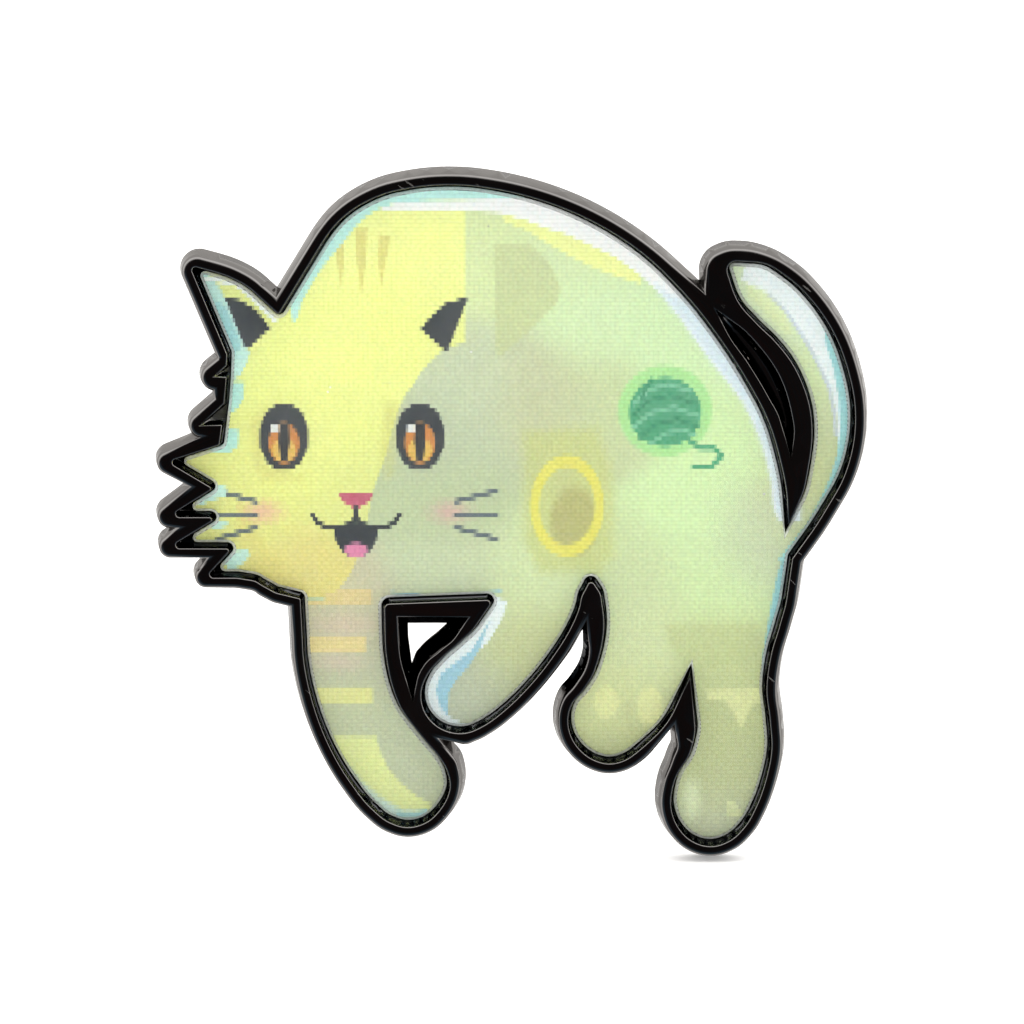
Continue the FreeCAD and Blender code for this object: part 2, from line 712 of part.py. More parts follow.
def smooth_line(pts, steps=4):
    # a gentle curve through the points (Catmull-Rom), sampled
    out = []
    n = len(pts)
    for i in range(n - 1):
        p0 = pts[max(i - 1, 0)]
        p1, p2 = pts[i], pts[i + 1]
        p3 = pts[min(i + 2, n - 1)]
        for k in range(steps):
            t = k / float(steps)
            a = []
            for j in (0, 1):
                a.append(0.5 * ((2 * p1[j]) + (-p0[j] + p2[j]) * t
                                + (2 * p0[j] - 5 * p1[j] + 4 * p2[j] - p3[j]) * t * t
                                + (-p0[j] + 3 * p1[j] - 3 * p2[j] + p3[j]) * t ** 3))
            out.append((a[0], a[1]))
    out.append(pts[-1])
    return out


def make_wing(x, s):
    # s = +1 for the wing on the +X side, -1 for the other
    y = CLUTCH_Y
    jaw_x = 0.06
    line = [
        (jaw_x, y + JAW_Y), (0.9, y + JAW_Y), (1.5, y + JAW_Y + 0.10),
        (2.05, y + JAW_Y + 0.55), (WING_PIVOT_X + 0.12, y + WING_PIVOT_Y - 0.10),
        (3.35, y + WING_PIVOT_Y + 0.35), (4.05, y + WING_PIVOT_Y + 0.55), (4.62, y + WING_PIVOT_Y + 1.05),
        (4.86, y + WING_PIVOT_Y + 1.9), (5.05, y + TAB_TOP_Y - 0.25), (5.02, y + TAB_TOP_Y),
    ]
    mid = smooth_line(line, 3)
    mid = [(x + s * a, b) for a, b in mid]
    if s < 0:
        mid = mid[::-1]
    wing = sheet_strip(mid, WING_T, -WING_HALF_Z, WING_HALF_Z)
    # rounded finger tab corners
    cx = x + s * 5.0
    r, c = 0.90, 0.86
    cy, cz = y + TAB_TOP_Y - c, WING_HALF_Z - c
    for zz in (-1, 1):
        corner = Part.makeBox(2.4, c + 0.5, c + 0.5, V(cx - 1.2, cy, cz if zz > 0 else -WING_HALF_Z - 0.5))
        keep = Part.makeCylinder(r, 2.4, V(cx - 1.2, cy, cz * zz), V(1, 0, 0))
        wing = wing.cut(corner.cut(keep))
    # knuckle the wing rocks on
    kn = Part.makeCylinder(0.42, 2 * WING_HALF_Z, V(x + s * WING_PIVOT_X, y + WING_PIVOT_Y, -WING_HALF_Z), V(0, 0, 1))
    wing = wing.fuse(kn)
    # narrow jaw with a half-round notch for the post
    for zz in (-1, 1):
        b = Part.makeBox(1.6, 1.0, 1.0, V(x + s * 0.8 - 0.8 if s > 0 else x - 1.6, y + JAW_Y - 0.5, 0.95 if zz > 0 else -1.95))
        wing = wing.cut(b)
    wing = wing.cut(Part.makeCylinder(JAW_R, 3.0, V(x, y + JAW_Y - 1.5, 0), V(0, 1, 0)))
    return wing.removeSplitter()


def make_spring(x):
    # flat leaf under the cap's top with a hole for the post, ends turned down
    y = CLUTCH_Y
    yt = y + CAP_H - CAP_T - 0.12
    line = [(-1.62, yt - 0.62), (-1.50, yt - 0.20), (-1.20, yt), (1.20, yt), (1.50, yt - 0.20), (1.62, yt - 0.62)]
    mid = [(x + a, b) for a, b in line]
    s = sheet_strip(mid, 0.16, -1.5, 1.5)
    s = s.cut(Part.makeCylinder(0.85, 3.0, V(x, y + 1.0, 0), V(0, 1, 0)))
    return s


def main():
    os.makedirs("parts", exist_ok=True)
    nodes = {}
    nodes["pin_body"] = make_body()
    run, rad = sheet_outline()
    w = lambda y: wire(offset_run(run, -SHEET_GAP, rad), y)
    y = FLOOR
    nodes["adhesive_film"] = prism(w(y), -GLUE_T)
    nodes["printed_artwork"] = prism(w(y - GLUE_T), -PRINT_T)
    nodes["lens_sheet"] = prism(w(y - GLUE_T - PRINT_T), -LENS_T)
    for side, x in (("left", -POST_X), ("right", POST_X)):
        nodes[side + "_post"] = make_post(x)
        nodes[side + "_post_solder"] = make_solder(x)
        nodes[side + "_clutch_plate"] = make_clutch_plate(x)
        nodes[side + "_clutch_cap"] = make_clutch_cap(x)
        nodes[side + "_clutch_spring"] = make_spring(x)
        nodes[side + "_clutch_wing_outer"] = make_wing(x, -1 if x < 0 else 1)
        nodes[side + "_clutch_wing_inner"] = make_wing(x, 1 if x < 0 else -1)
    for name, shape in nodes.items():
        bb = shape.BoundBox
        print("%-26s valid %s solids %d vol %.3f  box %.2f..%.2f %.2f..%.2f %.2f..%.2f" % (
            name, shape.isValid(), len(shape.Solids), shape.Volume,
            bb.XMin, bb.XMax, bb.YMin, bb.YMax, bb.ZMin, bb.ZMax))
        shape.exportStep("parts/%s.step" % name)


main()
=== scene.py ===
"""Looks of the enamel-style lapel pin: a die-struck black nickel frame with a lenticular print inlay and two butterfly clutches."""
import math

import bmesh
import bpy
import numpy as np
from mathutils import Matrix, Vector
from mathutils.bvhtree import BVHTree


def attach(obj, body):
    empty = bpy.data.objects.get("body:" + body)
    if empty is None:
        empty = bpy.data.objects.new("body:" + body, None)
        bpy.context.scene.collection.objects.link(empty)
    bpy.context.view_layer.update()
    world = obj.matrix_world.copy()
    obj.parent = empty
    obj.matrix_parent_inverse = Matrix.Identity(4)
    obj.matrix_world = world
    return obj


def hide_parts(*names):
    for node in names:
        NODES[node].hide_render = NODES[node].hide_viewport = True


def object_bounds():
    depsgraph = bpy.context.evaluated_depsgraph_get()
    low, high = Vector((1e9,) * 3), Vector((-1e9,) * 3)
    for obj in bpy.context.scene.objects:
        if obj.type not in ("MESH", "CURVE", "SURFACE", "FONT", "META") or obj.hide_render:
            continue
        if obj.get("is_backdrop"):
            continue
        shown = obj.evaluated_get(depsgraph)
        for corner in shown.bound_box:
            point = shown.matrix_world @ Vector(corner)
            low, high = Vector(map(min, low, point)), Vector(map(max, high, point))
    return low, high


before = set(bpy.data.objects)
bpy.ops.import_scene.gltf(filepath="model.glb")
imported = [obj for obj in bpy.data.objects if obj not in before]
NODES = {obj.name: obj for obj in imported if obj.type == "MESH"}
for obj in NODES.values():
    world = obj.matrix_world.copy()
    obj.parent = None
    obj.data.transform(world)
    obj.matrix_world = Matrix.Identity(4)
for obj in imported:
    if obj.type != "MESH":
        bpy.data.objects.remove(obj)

CAD_LO, CAD_HI = (list(v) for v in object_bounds())
MM = 0.001
scene = bpy.context.scene

# ---------------------------------------------------------------- dimensions, mm
PITCH = 0.254            # lens ribs, 100 to the inch
CELL = 0.149             # width of one printed dot column
RIB_SAG = 0.034
RIB_STEPS = 6
LENS_TOP = -1.20
LENS_EDGE = -1.01        # where the slanted cut edge of the lens meets its upright side
LENS_LOW = -0.915
BEVEL = 0.19             # width of the slanted cut edge
INK_TOP = -0.905
INK_LOW = -0.855


# ================================================================ shader helpers
class Net:
    """A small helper for building a material's nodes."""

    def __init__(self, name):
        self.m = bpy.data.materials.new(name)
        self.m.use_nodes = True
        self.t = self.m.node_tree
        self.t.nodes.clear()
        self.out = self.t.nodes.new("ShaderNodeOutputMaterial")

    def node(self, kind, **kw):
        n = self.t.nodes.new(kind)
        for k, v in kw.items():
            setattr(n, k, v)
        return n

    def link(self, a, b):
        self.t.links.new(a, b)

    def put(self, socket, value):
        if isinstance(value, bpy.types.NodeSocket):
            self.link(value, socket)
        else:
            socket.default_value = value

    def coords(self):
        if not hasattr(self, "_c"):
            self._c = self.node("ShaderNodeTexCoord").outputs["Object"]
        return self._c

    def xyz(self):
        if not hasattr(self, "_xyz"):
            s = self.node("ShaderNodeSeparateXYZ")
            self.link(self.coords(), s.inputs[0])
            self._xyz = s.outputs
        return self._xyz

    def stretch(self, sx, sy, sz, vec=None):
        m = self.node("ShaderNodeMapping")
        m.inputs["Scale"].default_value = (sx, sy, sz)
        self.link(vec or self.coords(), m.inputs["Vector"])
        return m.outputs[0]

    def noise(self, scale, detail=3.0, rough=0.55, vec=None, distortion=0.0):
        n = self.node("ShaderNodeTexNoise")
        n.inputs["Scale"].default_value = scale
        n.inputs["Detail"].default_value = detail
        n.inputs["Roughness"].default_value = rough
        n.inputs["Distortion"].default_value = distortion
        self.link(vec or self.coords(), n.inputs["Vector"])
        return n.outputs["Fac"]

    def dots(self, scale, vec=None, feature="F1"):
        n = self.node("ShaderNodeTexVoronoi", feature=feature)
        n.inputs["Scale"].default_value = scale
        self.link(vec or self.coords(), n.inputs["Vector"])
        return n.outputs["Distance"], n.outputs["Color"]

    def math(self, op, a, b=0.0, clamp=False):
        n = self.node("ShaderNodeMath", operation=op, use_clamp=clamp)
        self.put(n.inputs[0], a)
        self.put(n.inputs[1], b)
        return n.outputs[0]

    def span(self, x, a, b, c=0.0, d=1.0, kind="SMOOTHSTEP"):
        n = self.node("ShaderNodeMapRange", interpolation_type=kind, clamp=True) if kind != "SMOOTHSTEP" else self.node("ShaderNodeMapRange", interpolation_type=kind)
        self.put(n.inputs["Value"], x)
        n.inputs["From Min"].default_value = a
        n.inputs["From Max"].default_value = b
        n.inputs["To Min"].default_value = c
        n.inputs["To Max"].default_value = d
        return n.outputs[0]

    def mix(self, fac, a, b, kind="MIX"):
        n = self.node("ShaderNodeMix", data_type="RGBA", blend_type=kind)
        self.put(n.inputs["Factor"], fac)
        for i, v in ((6, a), (7, b)):
            if isinstance(v, (tuple, list)):
                n.inputs[i].default_value = (*v, 1.0) if len(v) == 3 else v
            else:
                self.put(n.inputs[i], v)
        return n.outputs[2]

    def ramp(self, fac, stops):
        n = self.node("ShaderNodeValToRGB")
        e = n.color_ramp.elements
        while len(e) < len(stops):
            e.new(0.5)
        for i, (p, c) in enumerate(stops):
            e[i].position = p
            e[i].color = (*c, 1.0) if len(c) == 3 else c
        self.put(n.inputs["Fac"], fac)
        return n.outputs["Color"]

    def bump(self, height, strength, distance, normal=None):
        n = self.node("ShaderNodeBump")
        n.inputs["Strength"].default_value = strength
        n.inputs["Distance"].default_value = distance
        self.put(n.inputs["Height"], height)
        if normal is not None:
            self.link(normal, n.inputs["Normal"])
        return n.outputs[0]

    def principled(self, **kw):
        p = self.node("ShaderNodeBsdfPrincipled")
        for k, v in kw.items():
            s = p.inputs[k]
            if isinstance(v, (tuple, list)) and s.type == "RGBA" and len(v) == 3:
                v = (*v, 1.0)
            self.put(s, v)
        return p.outputs[0]

    def box(self, xr, zr, soft=0.35):
        """1 inside a range of x and z in mm, 0 outside."""
        x, _, z = self.xyz()
        m = None
        for s, (a, b) in ((x, xr), (z, zr)):
            q = self.math("MULTIPLY", self.span(s, (a - soft) * MM, (a + soft) * MM), self.span(s, (b + soft) * MM, (b - soft) * MM))
            m = q if m is None else self.math("MULTIPLY", m, q)
        return m

    def done(self, surface):
        self.link(surface, self.out.inputs["Surface"])
        return self.m


def lin(h):
    """An sRGB hex colour as linear numbers."""
    out = []
    for i in (0, 2, 4):
        c = int(h[i:i + 2], 16) / 255.0
        out.append(c / 12.92 if c <= 0.04045 else ((c + 0.055) / 1.055) ** 2.4)
    return tuple(out)


# ================================================================ materials
def black_nickel():
    n = Net("black_nickel")
    # long faint polishing hairlines in two directions, broken up by noise
    h1 = n.noise(1.0, 2.0, 0.6, n.stretch(900, 9000, 16000))
    h2 = n.noise(1.0, 2.0, 0.6, n.stretch(14000, 8000, 1100))
    wear = n.noise(260, 4.0, 0.6)
    blot = n.noise(90, 3.0, 0.5)
    fine = n.noise(5200, 3.0, 0.6)
    # rare short scratches
    turn = n.node("ShaderNodeMapping")
    turn.inputs["Rotation"].default_value = (0.0, 0.9, 0.0)
    n.link(n.coords(), turn.inputs["Vector"])
    s1 = n.noise(1.0, 1.0, 0.3, n.stretch(4200, 4200, 520, turn.outputs[0]))
    cut = n.span(s1, 0.765, 0.79)
    # specks of dust
    d, _ = n.dots(640)
    size = n.noise(300, 2.0, 0.5)
    speck = n.math("MULTIPLY", n.span(d, 0.10, 0.055), n.span(size, 0.60, 0.66))
    y = n.xyz()[1]
    back = n.span(y, -0.00006, -0.00001)
    grain = n.noise(9000, 2.0, 0.7)
    base = n.mix(n.span(blot, 0.3, 0.7), (0.148, 0.143, 0.139), (0.176, 0.171, 0.166))
    base = n.mix(n.math("MULTIPLY", n.span(wear, 0.5, 0.75), 0.3), base, (0.24, 0.235, 0.23))
    # painted shade: the base colour is darkened in the narrow openings between the legs, where the walls shade each
    # other
    painted_shade_openings = n.math("MAXIMUM", n.box((-7.6, -1.5), (-14.6, -8.0)), n.box((1.9, 5.0), (-13.6, -5.2)))
    painted_shade_openings = n.math("MULTIPLY", painted_shade_openings, n.span(y, -0.00192, -0.00172))
    painted_shade_openings = n.math("MULTIPLY", painted_shade_openings, n.span(y, -0.00002, -0.00016))
    base = n.mix(n.math("MULTIPLY", painted_shade_openings, 0.97), base, (0.006, 0.0055, 0.0055))
    # painted shade: the walls of the pocket are darkened too
    painted_pocket_shade = n.node("ShaderNodeAttribute", attribute_name="painted_pocket_shade").outputs["Fac"]
    base = n.mix(n.math("MULTIPLY", painted_pocket_shade, 0.80), base, n.mix(blot, (0.018, 0.020, 0.023), (0.050, 0.056, 0.062)))
    # the specular tint is darkened as well in both areas of painted shade
    tint = n.mix(n.math("MAXIMUM", painted_shade_openings, n.math("MULTIPLY", painted_pocket_shade, 0.85)), (0.62, 0.61, 0.60), (0.10, 0.105, 0.11))
    rough = n.math("ADD", n.span(wear, 0.35, 0.75, 0.085, 0.17), n.math("MULTIPLY", fine, 0.05))
    rough = n.math("ADD", rough, n.math("MULTIPLY", back, 0.24))
    height = n.math("ADD", n.math("MULTIPLY", h1, 0.5), n.math("MULTIPLY", h2, 0.5))
    height = n.math("SUBTRACT", height, n.math("MULTIPLY", cut, 0.4))
    nb = n.bump(height, 0.10, 0.000006)
    nb = n.bump(fine, 0.12, 0.000006, nb)
    nb = n.bump(n.math("MULTIPLY", grain, back), 0.5, 0.00002, nb)
    metal = n.principled(**{"Base Color": base, "Metallic": 1.0, "Roughness": rough, "Specular Tint": tint, "Normal": nb})
    dust = n.principled(**{"Base Color": n.mix(size, (0.55, 0.56, 0.56), (0.40, 0.38, 0.34)), "Roughness": 0.9})
    mixer = n.node("ShaderNodeMixShader")
    n.put(mixer.inputs[0], n.math("MAXIMUM", n.math("MULTIPLY", speck, 0.85), n.math("MULTIPLY", cut, 0.14)))
    n.link(metal, mixer.inputs[1])
    n.link(dust, mixer.inputs[2])
    return n.done(mixer.outputs[0])


def ink():
    n = Net("printed_ink")
    col = n.node("ShaderNodeAttribute", attribute_name="ink").outputs["Color"]
    x, y, z = n.xyz()
    tau = 2 * math.pi
    # one dark stroke for each interlaced column, shifted from one rib to the next, and a darker line of painted shade
    # along each groove between two ribs
    rowno = n.math("FLOOR", n.math("DIVIDE", z, PITCH * MM))
    wn = n.node("ShaderNodeTexWhiteNoise", noise_dimensions="1D")
    n.link(rowno, wn.inputs["W"])
    up = n.math("SINE", n.math("ADD", n.math("MULTIPLY", x, tau / (CELL * MM)), n.math("MULTIPLY", wn.outputs["Value"], tau * 0.6)))
    rib_shade = n.math("COSINE", n.math("MULTIPLY", z, tau / (PITCH * MM)))
    lean = n.math("SINE", n.math("ADD", n.math("MULTIPLY", x, tau / (0.447 * MM)), n.math("MULTIPLY", z, tau / (0.508 * MM))))
    grain = n.noise(7000, 2.0, 0.7)
    blot = n.noise(1500, 3.0, 0.6)
    tone = n.math("MULTIPLY", up, 0.052)
    tone = n.math("SUBTRACT", tone, n.math("MULTIPLY", rib_shade, 0.070))
    tone = n.math("ADD", tone, n.math("MULTIPLY", lean, 0.010))
    tone = n.math("ADD", tone, n.math("MULTIPLY", n.math("SUBTRACT", grain, 0.5), 0.12))
    tone = n.math("ADD", tone, n.math("MULTIPLY", n.math("SUBTRACT", blot, 0.5), 0.05))
    tone = n.math("ADD", tone, 1.0)
    comb = n.node("ShaderNodeCombineColor")
    for i in range(3):
        n.link(tone, comb.inputs[i])
    c = n.mix(1.0, col, comb.outputs[0], "MULTIPLY")
    # grey strokes of the neighbouring picture show between the dots, lighter than the darks and darker than the lights
    stroke = n.math("MULTIPLY", n.span(up, -0.1, 0.8), n.span(rib_shade, 0.6, -0.6))
    stroke = n.math("MULTIPLY", stroke, n.span(blot, 0.25, 0.7, 0.5, 1.0))
    c = n.mix(n.math("MULTIPLY", stroke, 0.17), c, n.mix(wn.outputs["Value"], (0.20, 0.23, 0.27), (0.30, 0.27, 0.24)))
    return n.done(n.principled(**{"Base Color": c, "Roughness": n.span(grain, 0.3, 0.7, 0.5, 0.72), "Specular IOR Level": 0.2, "Normal": n.bump(grain, 0.15, 0.00001)}))


def lens(kind):
    """kind: clear ribbed face, frosted cut edge, or plain glued back."""
    n = Net("clear_lens_" + kind)
    grain = n.noise(6000, 3.0, 0.65)
    blot = n.noise(420, 3.0, 0.6)
    hair = n.noise(1.0, 1.0, 0.3, n.stretch(420, 420, 6500))
    if kind == "face":
        d, _ = n.dots(900)
        speck = n.math("MULTIPLY", n.span(d, 0.085, 0.05), n.span(n.noise(380, 2.0, 0.5), 0.62, 0.67))
        rough = n.math("ADD", n.span(blot, 0.35, 0.7, 0.09, 0.2), n.math("MULTIPLY", grain, 0.06))
        gloss = n.principled(**{"Base Color": (0.80, 0.82, 0.82), "Roughness": rough, "IOR": 1.5, "Normal": n.bump(n.math("ADD", grain, hair), 0.10, 0.000008)})
        haze = n.math("ADD", n.math("MULTIPLY", speck, 0.5), n.math("ADD", n.span(blot, 0.3, 0.8, 0.015, 0.05), n.math("MULTIPLY", n.span(hair, 0.70, 0.78), 0.05)))
        fres = n.node("ShaderNodeFresnel")
        fres.inputs["IOR"].default_value = 1.45
        haze = n.math("ADD", haze, n.math("MULTIPLY", fres.outputs[0], 0.6), clamp=True)
    elif kind == "edge":
        # painted shade: each groove between two ribs ends in a dark tick at the top of the cut
        x, y, z = n.xyz()
        groove_shade = n.span(n.math("COSINE", n.math("MULTIPLY", z, 2 * math.pi / (PITCH * MM))), 0.1, 0.75)
        groove_shade = n.math("MULTIPLY", groove_shade, n.span(y, -0.00111, -0.00116))
        groove_shade = n.math("MULTIPLY", groove_shade, n.span(blot, 0.35, 0.55, 0.35, 1.0))
        gloss = n.principled(**{"Base Color": n.mix(n.math("MULTIPLY", groove_shade, 0.9), n.mix(grain, (0.70, 0.73, 0.72), (0.92, 0.94, 0.93)), (0.06, 0.07, 0.08)), "Roughness": n.span(grain, 0.3, 0.7, 0.28, 0.55), "IOR": 1.5, "Normal": n.bump(grain, 0.35, 0.00002)})
        haze = n.span(n.math("ADD", n.math("MULTIPLY", grain, 0.5), n.math("MULTIPLY", blot, 0.5)), 0.35, 0.65, 0.55, 0.85)
        haze = n.math("MAXIMUM", haze, n.math("MULTIPLY", groove_shade, 0.95))
    else:
        gloss = n.principled(**{"Base Color": (0.8, 0.82, 0.82), "Roughness": n.span(blot, 0.3, 0.7, 0.3, 0.5)})
        haze = n.math("MULTIPLY", blot, 0.02)
    clear = n.node("ShaderNodeBsdfTransparent")
    clear.inputs["Color"].default_value = (1, 1, 1, 1)
    mixer = n.node("ShaderNodeMixShader")
    n.put(mixer.inputs[0], haze)
    n.link(clear.outputs[0], mixer.inputs[1])
    n.link(gloss, mixer.inputs[2])
    return n.done(mixer.outputs[0])


def adhesive():
    n = Net("adhesive")
    b = n.noise(700, 4.0, 0.6)
    d, _ = n.dots(1500)
    bubble = n.span(d, 0.22, 0.12)
    c = n.mix(b, (0.62, 0.60, 0.52), (0.80, 0.79, 0.72))
    c = n.mix(n.math("MULTIPLY", bubble, 0.35), c, (0.9, 0.9, 0.86))
    return n.done(n.principled(**{"Base Color": c, "Roughness": n.span(b, 0.3, 0.7, 0.3, 0.55), "Normal": n.bump(n.math("ADD", b, bubble), 0.3, 0.00003)}))


def brass():
    n = Net("clutch_brass")
    blot = n.noise(240, 4.0, 0.6)
    fine = n.noise(4200, 3.0, 0.6)
    roll = n.noise(1.0, 2.0, 0.6, n.stretch(900, 9000, 15000))
    tarnish = n.span(n.noise(620, 5.0, 0.65), 0.52, 0.72)
    c = n.mix(n.span(blot, 0.3, 0.7), (0.78, 0.56, 0.24), (0.86, 0.66, 0.33))
    c = n.mix(n.math("MULTIPLY", tarnish, 0.45), c, (0.40, 0.25, 0.09))
    r = n.math("ADD", n.span(blot, 0.3, 0.7, 0.17, 0.27), n.math("MULTIPLY", tarnish, 0.18))
    r = n.math("ADD", r, n.math("MULTIPLY", fine, 0.06))
    nb = n.bump(roll, 0.22, 0.00001)
    nb = n.bump(fine, 0.18, 0.00001, nb)
    return n.done(n.principled(**{"Base Color": c, "Metallic": 1.0, "Roughness": r, "Normal": nb}))


def spring_steel():
    n = Net("spring_steel")
    blot = n.noise(420, 4.0, 0.6)
    roll = n.noise(1.0, 2.0, 0.6, n.stretch(12000, 9000, 700))
    c = n.mix(blot, (0.42, 0.43, 0.45), (0.60, 0.60, 0.60))
    c = n.mix(n.span(n.noise(900, 3.0, 0.6), 0.58, 0.75, 0.0, 0.5), c, (0.36, 0.33, 0.42))
    return n.done(n.principled(**{"Base Color": c, "Metallic": 1.0, "Roughness": n.span(roll, 0.3, 0.7, 0.22, 0.4), "Normal": n.bump(roll, 0.25, 0.00001)}))


def post_steel():
    n = Net("post_steel")
    turn = n.noise(1.0, 2.0, 0.6, n.stretch(500, 22000, 500))
    blot = n.noise(800, 4.0, 0.6)
    c = n.mix(blot, (0.55, 0.55, 0.55), (0.72, 0.71, 0.69))
    stain = n.span(n.xyz()[1], 0.0016, 0.0003)
    c = n.mix(n.math("MULTIPLY", stain, 0.5), c, (0.34, 0.27, 0.20))
    return n.done(n.principled(**{"Base Color": c, "Metallic": 1.0, "Roughness": n.span(turn, 0.3, 0.7, 0.14, 0.32), "Normal": n.bump(turn, 0.3, 0.00001)}))


def solder():
    n = Net("solder")
    crystal, _ = n.dots(2600)
    lump = n.noise(1200, 4.0, 0.6)
    flux = n.span(n.noise(700, 4.0, 0.6), 0.50, 0.66)
    c = n.mix(lump, (0.55, 0.55, 0.56), (0.76, 0.76, 0.75))
    c = n.mix(n.math("MULTIPLY", flux, 0.55), c, (0.34, 0.24, 0.12))
    r = n.math("ADD", n.span(crystal, 0.1, 0.6, 0.24, 0.42), n.math("MULTIPLY", flux, 0.2))
    nb = n.bump(lump, 0.5, 0.00006)
    nb = n.bump(crystal, 0.25, 0.00002, nb)
    return n.done(n.principled(**{"Base Color": c, "Metallic": 0.95, "Roughness": r, "Normal": nb}))


M_NICKEL = black_nickel()
M_INK = ink()
M_FACE, M_EDGE, M_GLUED = lens("face"), lens("edge"), lens("glued")
M_GLUE, M_BRASS, M_SPRING, M_POST, M_SOLDER = adhesive(), brass(), spring_steel(), post_steel(), solder()


# ================================================================ mesh helpers
def front_outline(name):
    """The outline of a flat node's front face, as a closed run of (x, z) in mm, counter-clockwise seen from the front."""
    me = NODES[name].data
    co = [tuple(round(c / MM, 4) for c in v.co) for v in me.vertices]
    y0 = min(c[1] for c in co)
    index, places = {}, []
    key = []
    for c in co:
        k = (c[0], c[2]) if abs(c[1] - y0) < 2e-3 else None
        if k is not None and k not in index:
            index[k] = len(places)
            places.append(k)
        key.append(None if k is None else index[k])
    directed = set()
    for p in me.polygons:
        ids = [key[v] for v in p.vertices]
        if None in ids:
            continue
        for a, b in zip(ids, ids[1:] + ids[:1]):
            if a != b:
                directed.add((a, b))
    nxt = {}
    for a, b in sorted(directed):
        if (b, a) not in directed:
            nxt[a] = b
    start = min(nxt)
    run, at = [start], nxt[start]
    while at != start:
        run.append(at)
        at = nxt[at]
    pts = [places[i] for i in run]
    area = sum(a[0] * b[1] - b[0] * a[1] for a, b in zip(pts, pts[1:] + pts[:1])) / 2
    return pts if area > 0 else pts[::-1]


def inset(run, d):
    """The run moved inwards by d."""
    out, n = [], len(run)
    for i in range(n):
        a, b, c = run[i - 1], run[i], run[(i + 1) % n]
        u = np.array((b[0] - a[0], b[1] - a[1]))
        w = np.array((c[0] - b[0], c[1] - b[1]))
        u /= max(np.hypot(*u), 1e-9)
        w /= max(np.hypot(*w), 1e-9)
        m = np.array((-u[1] - w[1], u[0] + w[0]))
        m /= max(np.hypot(*m), 1e-9)
        s = min(1.0 / max(m[0] * -u[1] + m[1] * u[0], 0.3), 1.6)
        out.append((b[0] + m[0] * d * s, b[1] + m[1] * d * s))
    return out


def tidy(run, least=0.02):
    """Drops points closer together than least."""
    out = [run[0]]
    for p in run[1:]:
        if math.hypot(p[0] - out[-1][0], p[1] - out[-1][1]) >= least:
            out.append(p)
    if math.hypot(out[0][0] - out[-1][0], out[0][1] - out[-1][1]) < least:
        out.pop()
    return out


def slice_up(bm, axis, lines):
    """Cuts every face of a flat mesh, in mm, along planes axis = line, in order."""
    def lo(f):
        return min(v.co[axis] for v in f.verts)

    def hi(f):
        return max(v.co[axis] for v in f.verts)

    no = Vector((0, 0, 0))
    no[axis] = 1.0
    waiting = sorted(((lo(f), i, f) for i, f in enumerate(bm.faces)), key=lambda t: (-t[0], t[1]))
    live = []
    for at in lines:
        while waiting and waiting[-1][0] < at - 1e-4:
            live.append(waiting.pop()[2])
        live = [f for f in live if hi(f) > at + 1e-4]
        over = [f for f in live if lo(f) < at - 1e-4]
        if not over:
            continue
        rest = [f for f in live if lo(f) >= at - 1e-4]
        geom = list({v for f in over for v in f.verts}) + list({e for f in over for e in f.edges}) + over
        co = Vector((0, 0, 0))
        co[axis] = at
        got = bmesh.ops.bisect_plane(bm, geom=geom, dist=1e-4, plane_co=co, plane_no=no)
        live = rest + [g for g in got["geom"] if isinstance(g, bmesh.types.BMFace) and hi(g) > at + 1e-4]


def solid_from(bm, y_low, mats_side, mat_low):
    """Closes a flat-based cap into a solid: walls down to y_low and a plain back."""
    edges = [e for e in bm.edges if e.is_boundary]
    got = bmesh.ops.extrude_edge_only(bm, edges=edges)
    low = [g for g in got["geom"] if isinstance(g, bmesh.types.BMVert)]
    for v in low:
        v.co.y = y_low
    for f in got["geom"]:
        if isinstance(f, bmesh.types.BMFace):
            f.material_index = mats_side
    loops = {}
    for v in low:
        ring = [e.other_vert(v) for e in v.link_edges if abs(e.other_vert(v).co.y - y_low) < 1e-6 and e.is_boundary]
        loops[v] = ring
    start = low[0]
    run, prev, at = [start], None, start
    while True:
        nx = [q for q in loops[at] if q is not prev]
        prev, at = at, nx[0]
        if at is start:
            break
        run.append(at)
    back = bm.faces.new(run)
    back.material_index = mat_low
    bmesh.ops.recalc_face_normals(bm, faces=bm.faces)


def to_object(bm, name, mats):
    bmesh.ops.scale(bm, vec=(MM, MM, MM), verts=bm.verts)
    me = bpy.data.meshes.new(name)
    bm.to_mesh(me)
    bm.free()
    for m in mats:
        me.materials.append(m)
    o = bpy.data.objects.new(name, me)
    scene.collection.objects.link(o)
    return o


